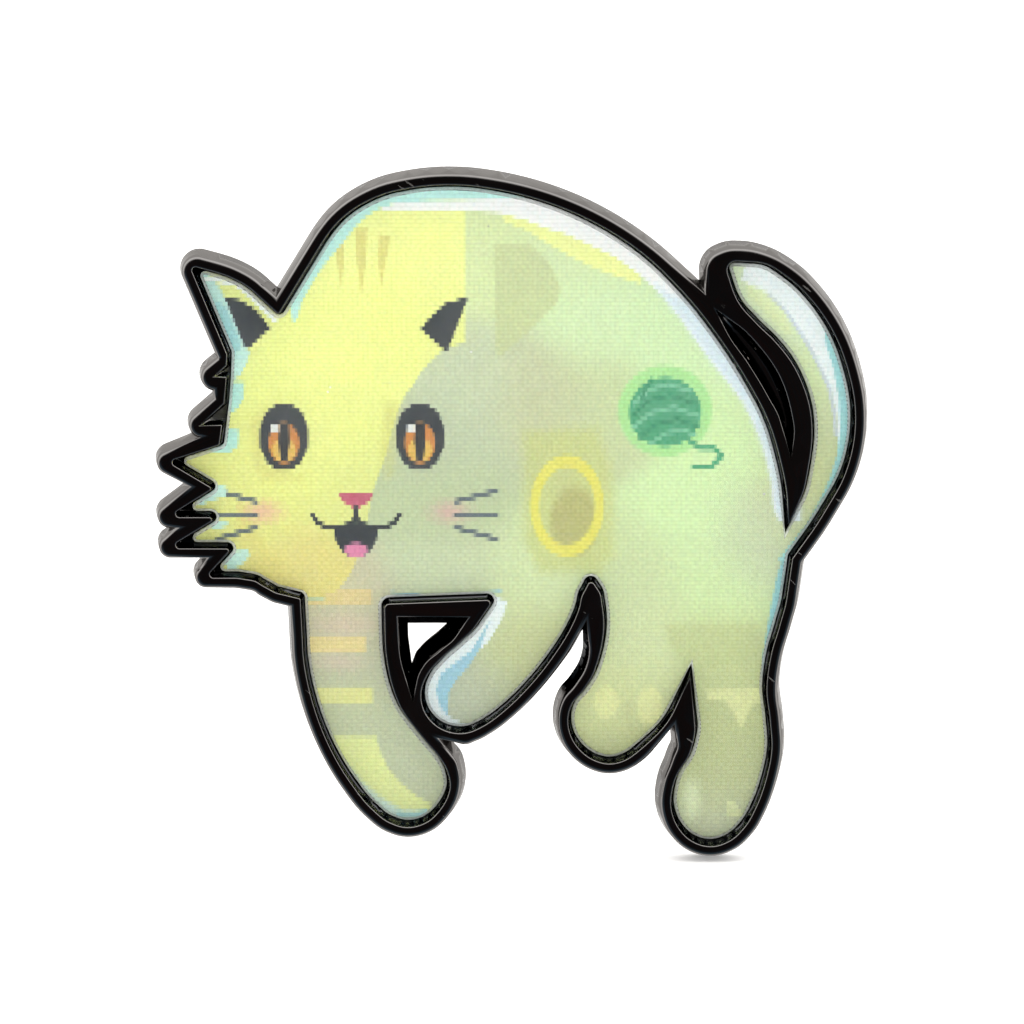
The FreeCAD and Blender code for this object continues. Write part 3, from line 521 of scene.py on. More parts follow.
# ================================================================ printed artwork
HEAD_FIELD = [(-11.11, 15.03, "f6fda6"), (-5.62, 14.11, "f4fba2"), (-11.18, 8.55, "f5fd9f"), (-6.88, 9.17, "f2fa9c"), (-11.24, 2.94, "eff79b"), (-14.97, 1.06, "ebf294"), (-17.19, -2.09, "e7ec92"), (-9.41, -0.2, "e6ee97"), (-13.22, -7.18, "e6df8c"), (-16.09, 8.55, "eef79b")]
BODY_FIELD = [(-1.96, 13.49, "ddecb5"), (3.54, 14.11, "d9ebba"), (5.4, 9.79, "d9efc0"), (9.71, 7.93, "d9f2c0"), (-2.59, 6.07, "cedab8"), (-3.83, 2.32, "c6d3b2"), (1.73, 4.82, "cdd4ac"), (6.04, 4.82, "cfdcac"), (13.47, 2.32, "d9f2ba"), (-3.84, -1.46, "c4d3a8"), (11.67, -2.73, "d9f2ba"), (15.1, -3.99, "cbd9b5"), (-3.86, -6.54, "cedbb6"), (1.12, -6.54, "d7e7b6"), (7.98, -6.54, "d2e2b0"), (12.97, -7.18, "d7efb6"), (0.19, -10.38, "d0daa4"), (1.75, -11.99, "c6cf9b"), (-2.32, -13.6, "c4ceb2"), (8.0, -10.38, "d7e4b3"), (6.46, -14.25, "d6e0a8"), (8.05, -17.17, "c7d09a"), (13.01, -11.02, "cbd79f"), (13.08, -16.52, "c5d099"), (12.8, -19.45, "c6d09c"), (13.15, -22.4, "ccd5b4"), (-10.43, -9.1, "d0cfae"), (-8.58, -12.18, "c6ccad"), (-9.55, -15.22, "cad4ae"), (-7.05, -16.85, "c8d3b2"), (-5.49, -19.78, "c8d2b0"), (15.22, 9.79, "e3f5ce"), (17.74, 5.44, "e0f2be"), (19.15, 2.82, "d2deb2"), (19.8, 0.75, "ced99f"), (18.6, -1.46, "dee9b0"), (17.58, -3.36, "d2dfb6")]
ART = [
    ("poly", "cdd9a4", 0.85, 0.0, [(-1.1, 14.54), (1.1, 14.47), (2.2, 13.37), (2.94, 11.95), (2.82, 10.91), (1.11, 9.17), (-0.74, 7.5), (-0.98, 7.5)]),
    ("poly", "f3fba8", 1, 0.0, [(-0.73, 16.49), (0.98, 16.0), (2.01, 15.58), (3.24, 15.21), (4.76, 14.54), (6.3, 13.8), (7.83, 12.69), (7.9, 12.02), (6.49, 12.45), (5.14, 12.94), (3.55, 13.74), (2.2, 14.47), (0.98, 15.27), (-0.43, 15.82)]),
    ("poly", "cdd68c", 0.75, 0.556, [(0.74, 2.82), (5.19, 3.07), (6.19, 0.43), (6.35, -5.01), (5.36, -6.03), (1.74, -6.03), (0.75, -3.99)]),
    ("ellipse", "b9b777", 0.75, 0.309, [3.85, -2.85, 1.481, 2.222]),
    ("ring", "ebe76c", 0.95, 0.0, [3.41, -1.84, 2.284, 3.21, 0.556]),
    ("ellipse", "b4ea9f", 0.95, 0.123, [9.44, 4.13, 2.901, 2.84]),
    ("ellipse", "52ad82", 1, 0.0, [9.44, 4.07, 2.222, 2.16]),
    ("line", "7dc9a4", 1, 0.0, [0.272, (7.52, 4.57), (8.38, 5.44), (9.61, 5.82), (10.97, 5.38)]),
    ("line", "3f9a73", 1, 0.0, [0.21, (7.47, 3.82), (8.38, 4.76), (9.74, 5.13), (11.35, 4.57)]),
    ("line", "7dc9a4", 1, 0.0, [0.272, (7.47, 3.07), (8.51, 4.01), (9.99, 4.38), (11.48, 3.82)]),
    ("line", "3f9a73", 1, 0.0, [0.21, (7.91, 2.44), (8.89, 3.32), (10.24, 3.63), (11.48, 3.13)]),
    ("line", "7dc9a4", 1, 0.0, [0.259, (8.53, 2.07), (9.51, 2.76), (10.62, 2.94), (11.24, 2.63)]),
    ("line", "3f9a73", 1, 0.0, [0.185, (8.62, 6.13), (8.19, 5.44), (8.01, 4.95)]),
    ("line", "52ad82", 1, 0.0, [0.284, (10.75, 2.44), (11.62, 1.81), (12.49, 1.81), (12.99, 1.31), (12.38, 0.68), (11.26, 0.62)]),
    ("poly", "c8d59b", 0.85, 0.247, [(9.62, -9.35), (15.49, -9.35), (15.4, -11.35), (14.28, -11.93), (11.78, -12.31), (10.52, -11.67), (9.75, -10.38)]),
    ("ellipse", "e6ecae", 0.9, 0.185, [5.9, -14.38, 0.802, 1.049]),
    ("ellipse", "e6ecae", 0.9, 0.185, [8.66, -14.64, 0.802, 1.235]),
    ("line", "c9d29c", 0.9, 0.123, [0.37, (7.28, -14.51), (7.42, -16.59)]),
    ("poly", "e5ebb0", 0.85, 0.123, [(12.17, -13.6), (15.93, -13.47), (15.81, -14.25), (15.07, -14.64), (14.39, -16.07), (13.88, -15.03), (13.3, -14.25), (12.3, -14.25)]),
    ("ellipse", "e6f2cb", 0.9, 0.494, [11.3, -20.76, 0.556, 1.235]),
    ("poly", "dfe8b4", 0.9, 0.062, [(13.58, -20.89), (14.08, -20.76), (14.6, -21.74), (13.59, -21.94)]),
    ("poly", "9ed8dd", 1, 0.0, [(16.98, -4.63), (17.72, -4.5), (17.32, -6.22), (16.9, -7.82), (16.51, -10.38), (16.22, -11.93), (15.99, -13.35), (15.74, -13.22), (15.65, -11.67), (15.88, -10.06), (16.16, -8.14), (16.51, -6.22)]),
    ("poly", "ebd795", 0.75, 0.0, [(-12.84, -7.05), (-8.73, -7.05), (-8.74, -8.2), (-12.85, -8.2)]),
    ("poly", "efe09c", 0.9, 0.0, [(-12.88, -10.19), (-9.13, -10.19), (-9.14, -11.22), (-12.89, -11.22)]),
    ("ellipse", "e2cbb8", 0.5, 0.494, [-10.43, -9.42, 1.605, 0.617]),
    ("ellipse", "e2cfc0", 0.5, 0.494, [-10.77, -11.8, 1.358, 0.494]),
    ("poly", "e9eca0", 0.95, 0.0, [(-12.54, -13.47), (-8.72, -13.47), (-8.72, -14.44), (-12.55, -14.44)]),
    ("poly", "e9f3a8", 0.95, 0.123, [(-11.95, -16.59), (-8.55, -16.59), (-8.31, -17.5), (-7.81, -18.67), (-7.06, -19.58), (-5.93, -20.56), (-5.05, -21.02), (-5.18, -21.55), (-6.76, -21.68), (-8.34, -21.15), (-10.21, -19.13), (-11.46, -17.63)]),
    ("poly", "d6efe6", 0.95, 0.247, [(-10.33, -18.47), (-9.46, -19.52), (-8.33, -20.56), (-7.07, -21.35), (-5.43, -21.48), (-5.82, -22.34), (-7.59, -22.34), (-9.22, -21.15), (-10.59, -19.32)]),
    ("line", "b4e2e4", 1, 0.062, [0.309, (-7.2, -21.61), (-6.32, -21.74), (-5.43, -21.55)]),
    ("line", "9fd6e0", 1, 0.0, [0.198, (-12.85, -7.82), (-11.79, -7.82)]),
    ("poly", "f1fdfd", 1, 0.062, [(-1.0, -7.69), (-0.31, -7.82), (-0.44, -8.59), (-0.94, -9.61), (-1.5, -10.51), (-2.5, -11.48), (-3.7, -12.18), (-4.39, -12.83), (-4.64, -13.73), (-4.46, -14.64), (-3.77, -15.42), (-2.39, -16.07), (-4.53, -16.72), (-6.4, -14.57), (-6.08, -12.18), (-3.25, -10.12), (-1.5, -8.07)]),
    ("poly", "a9d8e8", 1, 0.0, [(-1.44, -9.23), (-2.0, -10.9), (-2.76, -12.12), (-3.51, -12.96), (-3.95, -13.73), (-4.08, -15.29), (-4.52, -14.64), (-4.77, -13.6), (-4.45, -12.57), (-3.57, -11.86), (-2.5, -11.02)]),
    ("line", "e4eff0", 1, 0.0, [0.309, (-7.98, -7.82), (-6.36, -8.01), (-4.49, -8.07), (-2.62, -7.95), (-0.94, -7.69)]),
    ("line", "b6abd4", 1, 0.0, [0.21, (-5.99, -7.69), (-4.49, -7.75), (-2.99, -7.69)]),
    ("line", "a9d8e4", 1, 0.0, [0.21, (-7.48, -7.37), (-5.86, -7.5)]),
    ("line", "a9d8e4", 1, 0.0, [0.222, (-3.12, -7.5), (-1.87, -7.43), (-0.75, -7.31)]),
    ("head", None, 1, 0, [(-2.86, 20.21), (-2.89, 8.37), (-3.69, 8.18), (-4.36, 7.81), (-5.04, 7.19), (-5.6, 6.57), (-6.04, 5.82), (-6.53, 5.2), (-6.97, 4.32), (-7.41, 2.94), (-7.79, 1.38), (-8.17, 0.31), (-8.55, -0.7), (-8.74, -1.46), (-8.87, -2.22), (-9.07, -3.36), (-9.45, -4.76), (-10.09, -6.22), (-10.85, -7.18), (-11.85, -7.56), (-12.85, -7.56), (-12.88, -10.38), (-22.64, -10.38), (-21.99, 20.21)]),
    ("poly", "dbd77f", 0.5, 0.494, [(-16.05, 3.57), (-15.05, 4.2), (-15.47, 0.75), (-13.13, -0.07), (-15.48, -0.2), (-16.08, 1.06)]),
    ("poly", "d8d77d", 0.45, 0.494, [(-7.83, 4.82), (-6.97, 4.51), (-7.3, 0.43), (-7.68, -0.07), (-8.16, 1.69)]),
    ("poly", "e2da80", 0.6, 0.494, [(-16.87, -1.46), (-15.54, -3.99), (-13.21, -6.86), (-11.04, -7.82), (-13.23, -7.95), (-16.32, -6.54), (-17.16, -3.99)]),
    ("poly", "e2dd86", 0.85, 0.0, [(-10.99, 14.96), (-10.32, 15.09), (-10.27, 13.37), (-10.47, 11.77), (-10.7, 13.37)]),
    ("poly", "e2dd86", 0.85, 0.0, [(-9.58, 15.39), (-8.85, 15.39), (-8.93, 13.37), (-9.25, 11.15), (-9.48, 13.37)]),
    ("poly", "e2dd86", 0.85, 0.0, [(-8.12, 15.09), (-7.45, 14.96), (-7.7, 13.37), (-8.02, 11.77), (-8.19, 13.37)]),
    ("poly", "2b343c", 1, 0.0, [(-17.77, 11.21), (-16.67, 11.03), (-15.7, 10.41), (-14.85, 9.3), (-15.35, 8.86), (-16.23, 8.0), (-16.53, 8.24), (-17.18, 9.67)]),
    ("poly", "2b343c", 1, 0.0, [(-2.7, 11.21), (-4.0, 7.81), (-5.59, 9.24), (-5.03, 9.92), (-4.05, 10.84)]),
    ("poly", "2b343c", 1, 0.0, [(-15.56, 3.07), (-15.18, 4.07), (-14.55, 4.51), (-13.57, 4.51), (-12.95, 4.07), (-12.6, 3.07), (-12.61, 1.94), (-13.05, 0.93), (-13.68, 0.43), (-14.55, 0.43), (-15.16, 0.93), (-15.58, 1.94)]),
    ("ellipse", "d98f3f", 1, 0.0, [-14.09, 2.13, 0.957, 1.296]),
    ("ellipse", "ecc65c", 1, 0.0, [-14.1, 1.69, 0.741, 0.741]),
    ("poly", "1d2328", 1, 0.0, [(-14.35, 3.32), (-13.8, 3.32), (-13.75, 2.19), (-13.92, 1.0), (-14.29, 1.0), (-14.43, 2.19)]),
    ("poly", "eef6f0", 1, 0.0, [(-14.88, 3.26), (-14.38, 3.26), (-14.39, 2.76), (-14.89, 2.76)]),
    ("poly", "2b343c", 1, 0.0, [(-7.16, 3.07), (-6.79, 4.07), (-6.17, 4.51), (-5.18, 4.51), (-4.56, 4.07), (-4.2, 3.07), (-4.2, 1.94), (-4.64, 0.93), (-5.26, 0.43), (-6.13, 0.43), (-6.74, 0.93), (-7.17, 1.94)]),
    ("ellipse", "d98f3f", 1, 0.0, [-5.69, 2.13, 0.957, 1.296]),
    ("ellipse", "ecc65c", 1, 0.0, [-5.69, 1.69, 0.741, 0.741]),
    ("poly", "1d2328", 1, 0.0, [(-5.96, 3.32), (-5.4, 3.32), (-5.35, 2.19), (-5.51, 1.0), (-5.88, 1.0), (-6.03, 2.19)]),
    ("poly", "eef6f0", 1, 0.0, [(-6.48, 3.26), (-5.99, 3.26), (-5.99, 2.76), (-6.49, 2.76)]),
    ("ellipse", "ee9fb4", 0.5, 0.556, [-15.51, -2.22, 0.988, 0.556]),
    ("ellipse", "ee9fb4", 0.45, 0.556, [-3.85, -2.22, 0.988, 0.556]),
    ("line", "5d6c76", 0.95, 0.0, [0.284, (-15.88, -1.56), (-18.22, -0.89)]),
    ("line", "5d6c76", 0.95, 0.0, [0.284, (-3.47, -1.56), (-0.99, -0.89)]),
    ("line", "5d6c76", 0.95, 0.0, [0.284, (-15.89, -2.38), (-18.25, -2.38)]),
    ("line", "5d6c76", 0.95, 0.0, [0.284, (-3.48, -2.38), (-0.99, -2.38)]),
    ("line", "5d6c76", 0.95, 0.0, [0.284, (-15.9, -3.2), (-18.27, -3.93)]),
    ("line", "5d6c76", 0.95, 0.0, [0.284, (-3.48, -3.2), (-0.99, -3.93)]),
    ("poly", "c9607c", 1, 0.0, [(-10.78, -0.96), (-8.55, -0.96), (-8.81, -1.52), (-9.68, -2.09), (-10.54, -1.52)]),
    ("line", "2b343c", 1, 0.0, [0.259, (-9.68, -1.97), (-9.69, -2.85)]),
    ("poly", "2b343c", 1, 0.0, [(-11.05, -3.11), (-9.69, -2.92), (-8.32, -3.11), (-8.39, -3.87), (-8.77, -4.63), (-9.33, -5.08), (-10.08, -5.08), (-10.64, -4.63), (-11.0, -3.87)]),
    ("ellipse", "e58bb4", 1, 0.0, [-9.7, -4.63, 0.741, 0.463]),
    ("line", "2b343c", 1, 0.0, [0.272, (-12.41, -2.35), (-12.05, -2.92), (-11.43, -3.23), (-10.68, -3.17), (-10.06, -2.98), (-9.68, -2.6), (-9.31, -2.98), (-8.7, -3.17), (-7.95, -3.23), (-7.33, -2.92), (-6.95, -2.35)]),
    ("poly", "c6f5ee", 1, 0.0, [(-13.84, 11.89), (-13.44, 9.61), (-13.19, 9.86), (-12.87, 10.97), (-12.18, 12.2), (-11.31, 13.43), (-10.2, 14.72), (-9.64, 15.45), (-9.03, 16.07), (-8.29, 16.55), (-7.31, 16.92), (-5.61, 17.1), (-2.56, 17.17), (0.49, 17.23), (1.4, 17.35), (1.1, 18.38), (-6.81, 18.99), (-10.77, 18.08), (-13.88, 13.49)]),
    ("poly", "fbffff", 1, 0.0, [(-8.29, 16.49), (-7.31, 16.92), (-5.61, 17.1), (-2.56, 17.17), (0.49, 17.23), (1.4, 17.35), (2.92, 17.77), (7.81, 15.94), (12.75, 11.03), (17.8, 2.32), (17.88, -2.73), (16.58, -2.73), (16.25, -1.97), (16.04, -0.2), (15.71, 1.19), (15.32, 2.44), (14.81, 3.57), (14.24, 4.7), (13.3, 5.94), (12.3, 7.19), (11.37, 8.43), (10.31, 9.92), (9.19, 11.34), (7.83, 12.57), (6.3, 13.68), (4.76, 14.41), (3.24, 15.09), (2.01, 15.45), (0.98, 15.88), (-0.73, 16.37), (-2.87, 16.49), (-6.83, 16.49)]),
    ("poly", "e6f5fc", 1, 0.309, [(8.75, 12.08), (9.8, 11.28), (12.75, 11.03), (17.8, 2.32), (17.88, -2.73), (16.58, -2.73), (16.25, -1.97), (16.04, -0.2), (15.71, 1.19), (15.32, 2.44), (14.81, 3.57), (14.24, 4.7), (13.3, 5.94), (12.3, 7.19), (11.37, 8.43), (10.31, 9.92), (9.19, 11.21)]),
    ("poly", "cbf3ea", 1, 0.0, [(-19.33, 13.12), (-18.48, 12.57), (-17.82, 11.65), (-17.41, 10.72), (-16.94, 9.48), (-16.47, 8.24), (-16.11, 7.81), (-16.3, 7.19), (-16.74, 6.32), (-17.61, 5.94), (-17.94, 8.55), (-19.71, 12.39)]),
    ("poly", "ace3e3", 1, 0.0, [(-18.26, 11.03), (-17.59, 10.66), (-16.77, 8.68), (-16.66, 7.93), (-17.15, 7.69), (-17.8, 9.17)]),
    ("line", "f4fefb", 1, 0.0, [0.309, (-19.1, 12.39), (-17.75, 12.2), (-16.78, 11.95), (-15.93, 11.21), (-15.21, 10.47), (-14.54, 9.79)]),
    ("poly", "bdefe5", 1, 0.0, [(-17.86, 6.01), (-16.5, 5.94), (-16.52, 4.95), (-16.9, 4.32), (-17.27, 4.07), (-18.02, 3.88)]),
    ("poly", "bdefe5", 1, 0.0, [(-18.4, 3.07), (-16.86, 2.94), (-16.94, 1.94), (-17.44, 1.56), (-18.67, 1.5)]),
    ("poly", "c9f1e5", 1, 0.0, [(-19.45, -0.39), (-18.21, -0.45), (-17.6, -0.7), (-17.73, -1.21), (-18.48, -1.46), (-19.48, -1.84)]),
    ("poly", "c9f1e5", 1, 0.0, [(-18.87, -2.66), (-17.63, -2.73), (-17.64, -3.11), (-18.64, -3.36)]),
    ("poly", "c9f1e5", 1, 0.0, [(-17.66, -4.69), (-16.42, -4.63), (-16.3, -5.01), (-16.93, -5.65), (-17.56, -5.9), (-18.05, -5.39)]),
    ("poly", "f4ffff", 1, 0.0, [(12.96, 13.62), (14.25, 13.12), (14.02, 12.2), (14.7, 11.89), (15.81, 11.34), (16.86, 10.29), (17.62, 9.17), (18.44, 7.93), (19.08, 6.69), (19.65, 5.44), (19.99, 4.07), (20.13, 2.94), (20.15, 2.0), (22.75, 1.69), (22.66, 6.07), (19.45, 12.88), (15.14, 15.03), (12.4, 14.41)]),
    ("line", "d3dfea", 0.9, 0.0, [0.222, (15.68, 11.4), (16.74, 10.41), (17.49, 9.3), (18.31, 8.06), (18.95, 6.82), (19.53, 5.57), (19.86, 4.07), (20.02, 2.57)]),
    ("poly", "e9f6bd", 0.7, 0.247, [(14.26, 12.14), (15.5, 11.52), (16.56, 10.41), (17.38, 8.86), (16.45, 9.17), (15.21, 10.54), (14.46, 11.28)]),
    ("poly", "aae4e5", 1, 0.0, [(19.15, 9.42), (19.78, 8.43), (20.3, 6.94), (20.65, 4.82), (20.81, 2.94), (20.72, 1.38), (20.32, -0.2), (19.6, -1.65), (18.63, -3.17), (17.72, -4.44), (17.18, -5.39), (16.55, -5.27), (17.28, -4.31), (18.26, -3.04), (19.1, -1.46), (19.69, -0.07), (20.1, 1.38), (20.26, 2.94), (20.16, 4.82), (19.81, 6.69), (19.29, 8.31)]),
    ("line", "f9ffff", 1, 0.0, [0.37, (20.98, 3.57), (20.97, 1.38), (20.51, -0.58), (19.49, -2.28), (18.28, -4.19)]),
]


def inside(px, pz, pts):
    """Which points lie in the polygon, and their distance to its edge."""
    n = len(pts)
    odd = np.zeros(px.shape, bool)
    dist = np.full(px.shape, 1e9)
    for i in range(n):
        (ax, az), (bx, bz) = pts[i], pts[(i + 1) % n]
        crosses = (az > pz) != (bz > pz)
        with np.errstate(divide="ignore", invalid="ignore"):
            at = (bx - ax) * (pz - az) / ((bz - az) if bz != az else 1e-12) + ax
        odd ^= crosses & (px < at)
        dist = np.minimum(dist, along(px, pz, (ax, az), (bx, bz)))
    return odd, dist


def along(px, pz, a, b):
    dx, dz = b[0] - a[0], b[1] - a[1]
    t = np.clip(((px - a[0]) * dx + (pz - a[1]) * dz) / max(dx * dx + dz * dz, 1e-12), 0, 1)
    return np.hypot(px - a[0] - t * dx, pz - a[1] - t * dz)


def srgb(h):
    return np.array([int(h[i:i + 2], 16) / 255.0 for i in (0, 2, 4)])


def field(px, pz, points, reach=1.7):
    """A smooth blend of colours given at listed points."""
    total = np.zeros(px.shape)
    col = np.zeros((*px.shape, 3))
    for x, z, h in points:
        w = np.exp(-((px - x) ** 2 + (pz - z) ** 2) / (2 * reach * reach)) + 1e-9
        total += w
        col += w[..., None] * srgb(h)
    return col / total[..., None]


def random_like(ix, iz, seed):
    """The same numbers for the same cell each time, from 0 to 1."""
    v = np.sin(ix * 12.9898 + iz * 78.233 + seed * 37.719) * 43758.5453
    return v - np.floor(v)


def paint(ix, iz):
    """The colour of each cell of the print, ix columns across and iz rows up."""
    fx, fz = (ix + 0.5) * CELL, (iz + 0.5) * PITCH
    col = field(fx, fz, BODY_FIELD)
    for kind, hexa, alpha, soft, data in ART:
        x, z = fx, fz
        if kind in ("poly", "head"):
            odd, d = inside(x, z, data)
            d = np.where(odd, -d, d)
        elif kind == "ellipse":
            cx, cz, rx, rz = data
            d = (np.hypot((x - cx) / rx, (z - cz) / rz) - 1) * min(rx, rz)
        elif kind == "ring":
            cx, cz, rx, rz, w = data
            d = np.abs((np.hypot((x - cx) / rx, (z - cz) / rz) - 1) * min(rx, rz) + w / 2) - w / 2
        else:
            w, pts = data[0], data[1:]
            d = np.full(x.shape, 1e9)
            for a, b in zip(pts, pts[1:]):
                d = np.minimum(d, along(x, z, a, b))
            d = d - w / 2
        if soft == 0:
            m = np.clip(0.5 - d / 0.11, 0, 1)
        else:
            # a dithered soft edge
            t = np.clip(0.5 - d / (2 * soft), 0, 1)
            t = t * t * (3 - 2 * t)
            m = t + (random_like(ix, iz, 5) - 0.5) * 0.25 * (t > 0.02) * (t < 0.98)
            m = np.clip(m, 0, 1)
        c = field(fx, fz, HEAD_FIELD) if kind == "head" else srgb(hexa)
        m = (m * alpha)[..., None]
        col = col * (1 - m) + c * m
    # interlaced columns: neighbouring strips differ a little in tone and tint
    phase = np.where((ix + 2 * (iz % 2)) % 4 == 0, -0.016, 0.004)
    col = col + phase[..., None]
    col = col + (random_like(ix, iz, 1)[..., None] - 0.5) * 0.030
    tint = np.stack([random_like(ix, iz, 2), random_like(ix, iz, 3), random_like(ix, iz, 4)], -1) - 0.5
    col = np.clip(col + tint * np.array([0.016, 0.010, 0.026]), 0, 1)
    return np.where(col <= 0.04045, col / 12.92, ((col + 0.055) / 1.055) ** 2.4)


OUTLINE = tidy(front_outline("printed_artwork"))
xs, zs = [p[0] for p in OUTLINE], [p[1] for p in OUTLINE]


def make_artwork():
    bm = bmesh.new()
    bm.faces.new([bm.verts.new((x, INK_TOP, z)) for x, z in OUTLINE])
    rows = [k * PITCH for k in range(math.floor(min(zs) / PITCH), math.ceil(max(zs) / PITCH) + 1)]
    cols = [k * CELL for k in range(math.floor(min(xs) / CELL), math.ceil(max(xs) / CELL) + 1)]
    slice_up(bm, 2, rows)
    slice_up(bm, 0, cols)
    solid_from(bm, INK_LOW, 0, 0)
    o = to_object(bm, "artwork_print", [M_INK])
    me = o.data
    n = len(me.polygons)
    mid = np.zeros(n * 3)
    me.polygons.foreach_get("center", mid)
    mid = mid.reshape(-1, 3) / MM
    col = paint(np.floor(mid[:, 0] / CELL), np.floor(mid[:, 2] / PITCH))
    front = np.abs(mid[:, 1] - INK_TOP) < 1e-3
    col[~front] = lin("e9ece6")
    counts = np.zeros(n, int)
    me.polygons.foreach_get("loop_total", counts)
    per = np.repeat(np.concatenate([col, np.ones((n, 1))], 1), counts, axis=0)
    at = me.color_attributes.new("ink", "FLOAT_COLOR", "CORNER")
    at.data.foreach_set("color", per.astype(np.float32).ravel())
    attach(o, "pin")
    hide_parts("printed_artwork")
    return o


# ================================================================ ribbed lens
def make_lens():
    inner = inset(OUTLINE, BEVEL)
    bm = bmesh.new()
    t = bm.verts.layers.float.new("edge")
    a = [bm.verts.new((x, 0, z)) for x, z in inner]
    b = [bm.verts.new((x, 0, z)) for x, z in OUTLINE]
    for v in b:
        v[t] = 1.0
    face = bm.faces.new(a)
    face.material_index = 0
    n = len(a)
    for i in range(n):
        j = (i + 1) % n
        f = bm.faces.new((b[i], b[j], a[j], a[i]))
        f.material_index = 1
    step = PITCH / RIB_STEPS
    lines = [k * step for k in range(math.floor(min(zs) / step), math.ceil(max(zs) / step) + 1)]
    slice_up(bm, 2, lines)
    r = (RIB_SAG ** 2 + (PITCH / 2) ** 2) / (2 * RIB_SAG)

    def knot(k):
        u = ((k / RIB_STEPS) % 1.0 - 0.5) * PITCH
        return r - math.sqrt(r * r - u * u)

    for v in bm.verts:
        k = v.co.z / step
        f = math.floor(k + 1e-6)
        w = min(max(k - f, 0.0), 1.0)
        top = LENS_TOP + knot(f) * (1 - w) + knot(f + 1) * w
        v.co.y = top * (1 - v[t]) + LENS_EDGE * v[t]
    solid_from(bm, LENS_LOW, 1, 2)
    for f in bm.faces:
        f.smooth = f.material_index == 0
    o = to_object(bm, "ribbed_lens", [M_FACE, M_EDGE, M_GLUED])
    o.data.set_sharp_from_angle(angle=math.radians(28))
    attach(o, "pin")
    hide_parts("lens_sheet")
    return o


def make_body():
    """The struck body, welded from the CAD mesh so that its curved walls shade smoothly."""
    src = NODES["pin_body"].data
    bm = bmesh.new()
    bm.from_mesh(src)
    bmesh.ops.remove_doubles(bm, verts=bm.verts, dist=2e-7)
    tree = BVHTree.FromBMesh(bm)
    walls = []
    for f in bm.faces:
        f.smooth = True
        # a wall of a recess has a floor at its foot; such walls are marked for the painted shade of the pocket walls
        pocket_shade_mark, flat = 0.0, Vector((f.normal.x, 0.0, f.normal.z))
        at = f.calc_center_median()
        if flat.length > 0.75 and -1.93 * MM < at.y < -0.7 * MM:
            for off in (0.22, 0.12, 0.06):
                hit = tree.ray_cast(at + flat.normalized() * off * MM, Vector((0.0, 1.0, 0.0)))
                if hit[0] is not None and hit[1].y < -0.9:
                    pocket_shade_mark = 1.0
        walls.append(pocket_shade_mark)
    me = bpy.data.meshes.new("struck_body")
    bm.to_mesh(me)
    bm.free()
    me.attributes.new("painted_pocket_shade", "FLOAT", "FACE").data.foreach_set("value", walls)
    me.materials.append(M_NICKEL)
    o = bpy.data.objects.new("struck_body", me)
    scene.collection.objects.link(o)
    me.set_sharp_from_angle(angle=math.radians(40))
    w = o.modifiers.new("face_weight", "WEIGHTED_NORMAL")
    w.mode, w.weight, w.keep_sharp = "FACE_AREA", 50, True
    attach(o, "pin")
    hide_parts("pin_body")
    return o


make_artwork()
make_lens()
make_body()

KEEP = {"adhesive_film": M_GLUE}
for side in ("left", "right"):
    KEEP[side + "_post"] = M_POST
    KEEP[side + "_post_solder"] = M_SOLDER
    KEEP[side + "_clutch_plate"] = M_BRASS
    KEEP[side + "_clutch_cap"] = M_BRASS
    KEEP[side + "_clutch_wing_outer"] = M_BRASS
    KEEP[side + "_clutch_wing_inner"] = M_BRASS
    KEEP[side + "_clutch_spring"] = M_SPRING
for name, m in KEEP.items():
    o = NODES[name]
    o.data.materials.clear()
    o.data.materials.append(m)


# ================================================================ stage, light, camera
def make_floor():
    bm = bmesh.new()
    n, s, z = 24, 2.4, CAD_LO[2] - 0.0001
    grid = [[bm.verts.new((-s + 2 * s * i / n, -s + 2 * s * j / n, z)) for i in range(n + 1)] for j in range(n + 1)]
    for j in range(n):
        for i in range(n):
            bm.faces.new((grid[j][i], grid[j][i + 1], grid[j + 1][i + 1], grid[j + 1][i]))
    me = bpy.data.meshes.new("floor")
    bm.to_mesh(me)
    bm.free()
    net = Net("floor_paper")
    g = net.noise(900, 3.0, 0.6)
    me.materials.append(net.done(net.principled(**{"Base Color": net.mix(g, (0.90, 0.90, 0.895), (0.94, 0.94, 0.935)), "Roughness": 0.9, "Specular IOR Level": 0.1, "Emission Color": (1.0, 1.0, 1.0), "Emission Strength": 0.16, "Normal": net.bump(g, 0.05, 0.0001)})))
    o = bpy.data.objects.new("floor", me)
    scene.collection.objects.link(o)
    o.visible_glossy = False
    o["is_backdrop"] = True


make_floor()


def area(name, at, target, size, radiance, glossy=True, colour=(1, 1, 1)):
    li = bpy.data.lights.new(name, "AREA")
    li.shape = "RECTANGLE"
    li.size, li.size_y = size
    li.energy = radiance * math.pi * size[0] * size[1]
    li.color = colour
    o = bpy.data.objects.new(name, li)
    scene.collection.objects.link(o)
    o.location = at
    o.rotation_mode = "QUATERNION"
    o.rotation_quaternion = (Vector(at) - Vector(target)).to_track_quat("Z", "Y")
    o.visible_camera = False
    o.visible_glossy = glossy
    return o


area("front_fill", (0.0, -0.46, 0.16), (0, 0, -0.004), (0.40, 0.30), 1.5, glossy=False)
area("back_fill", (0.05, 0.40, 0.26), (0, 0, 0), (0.30, 0.30), 1.6, glossy=False)


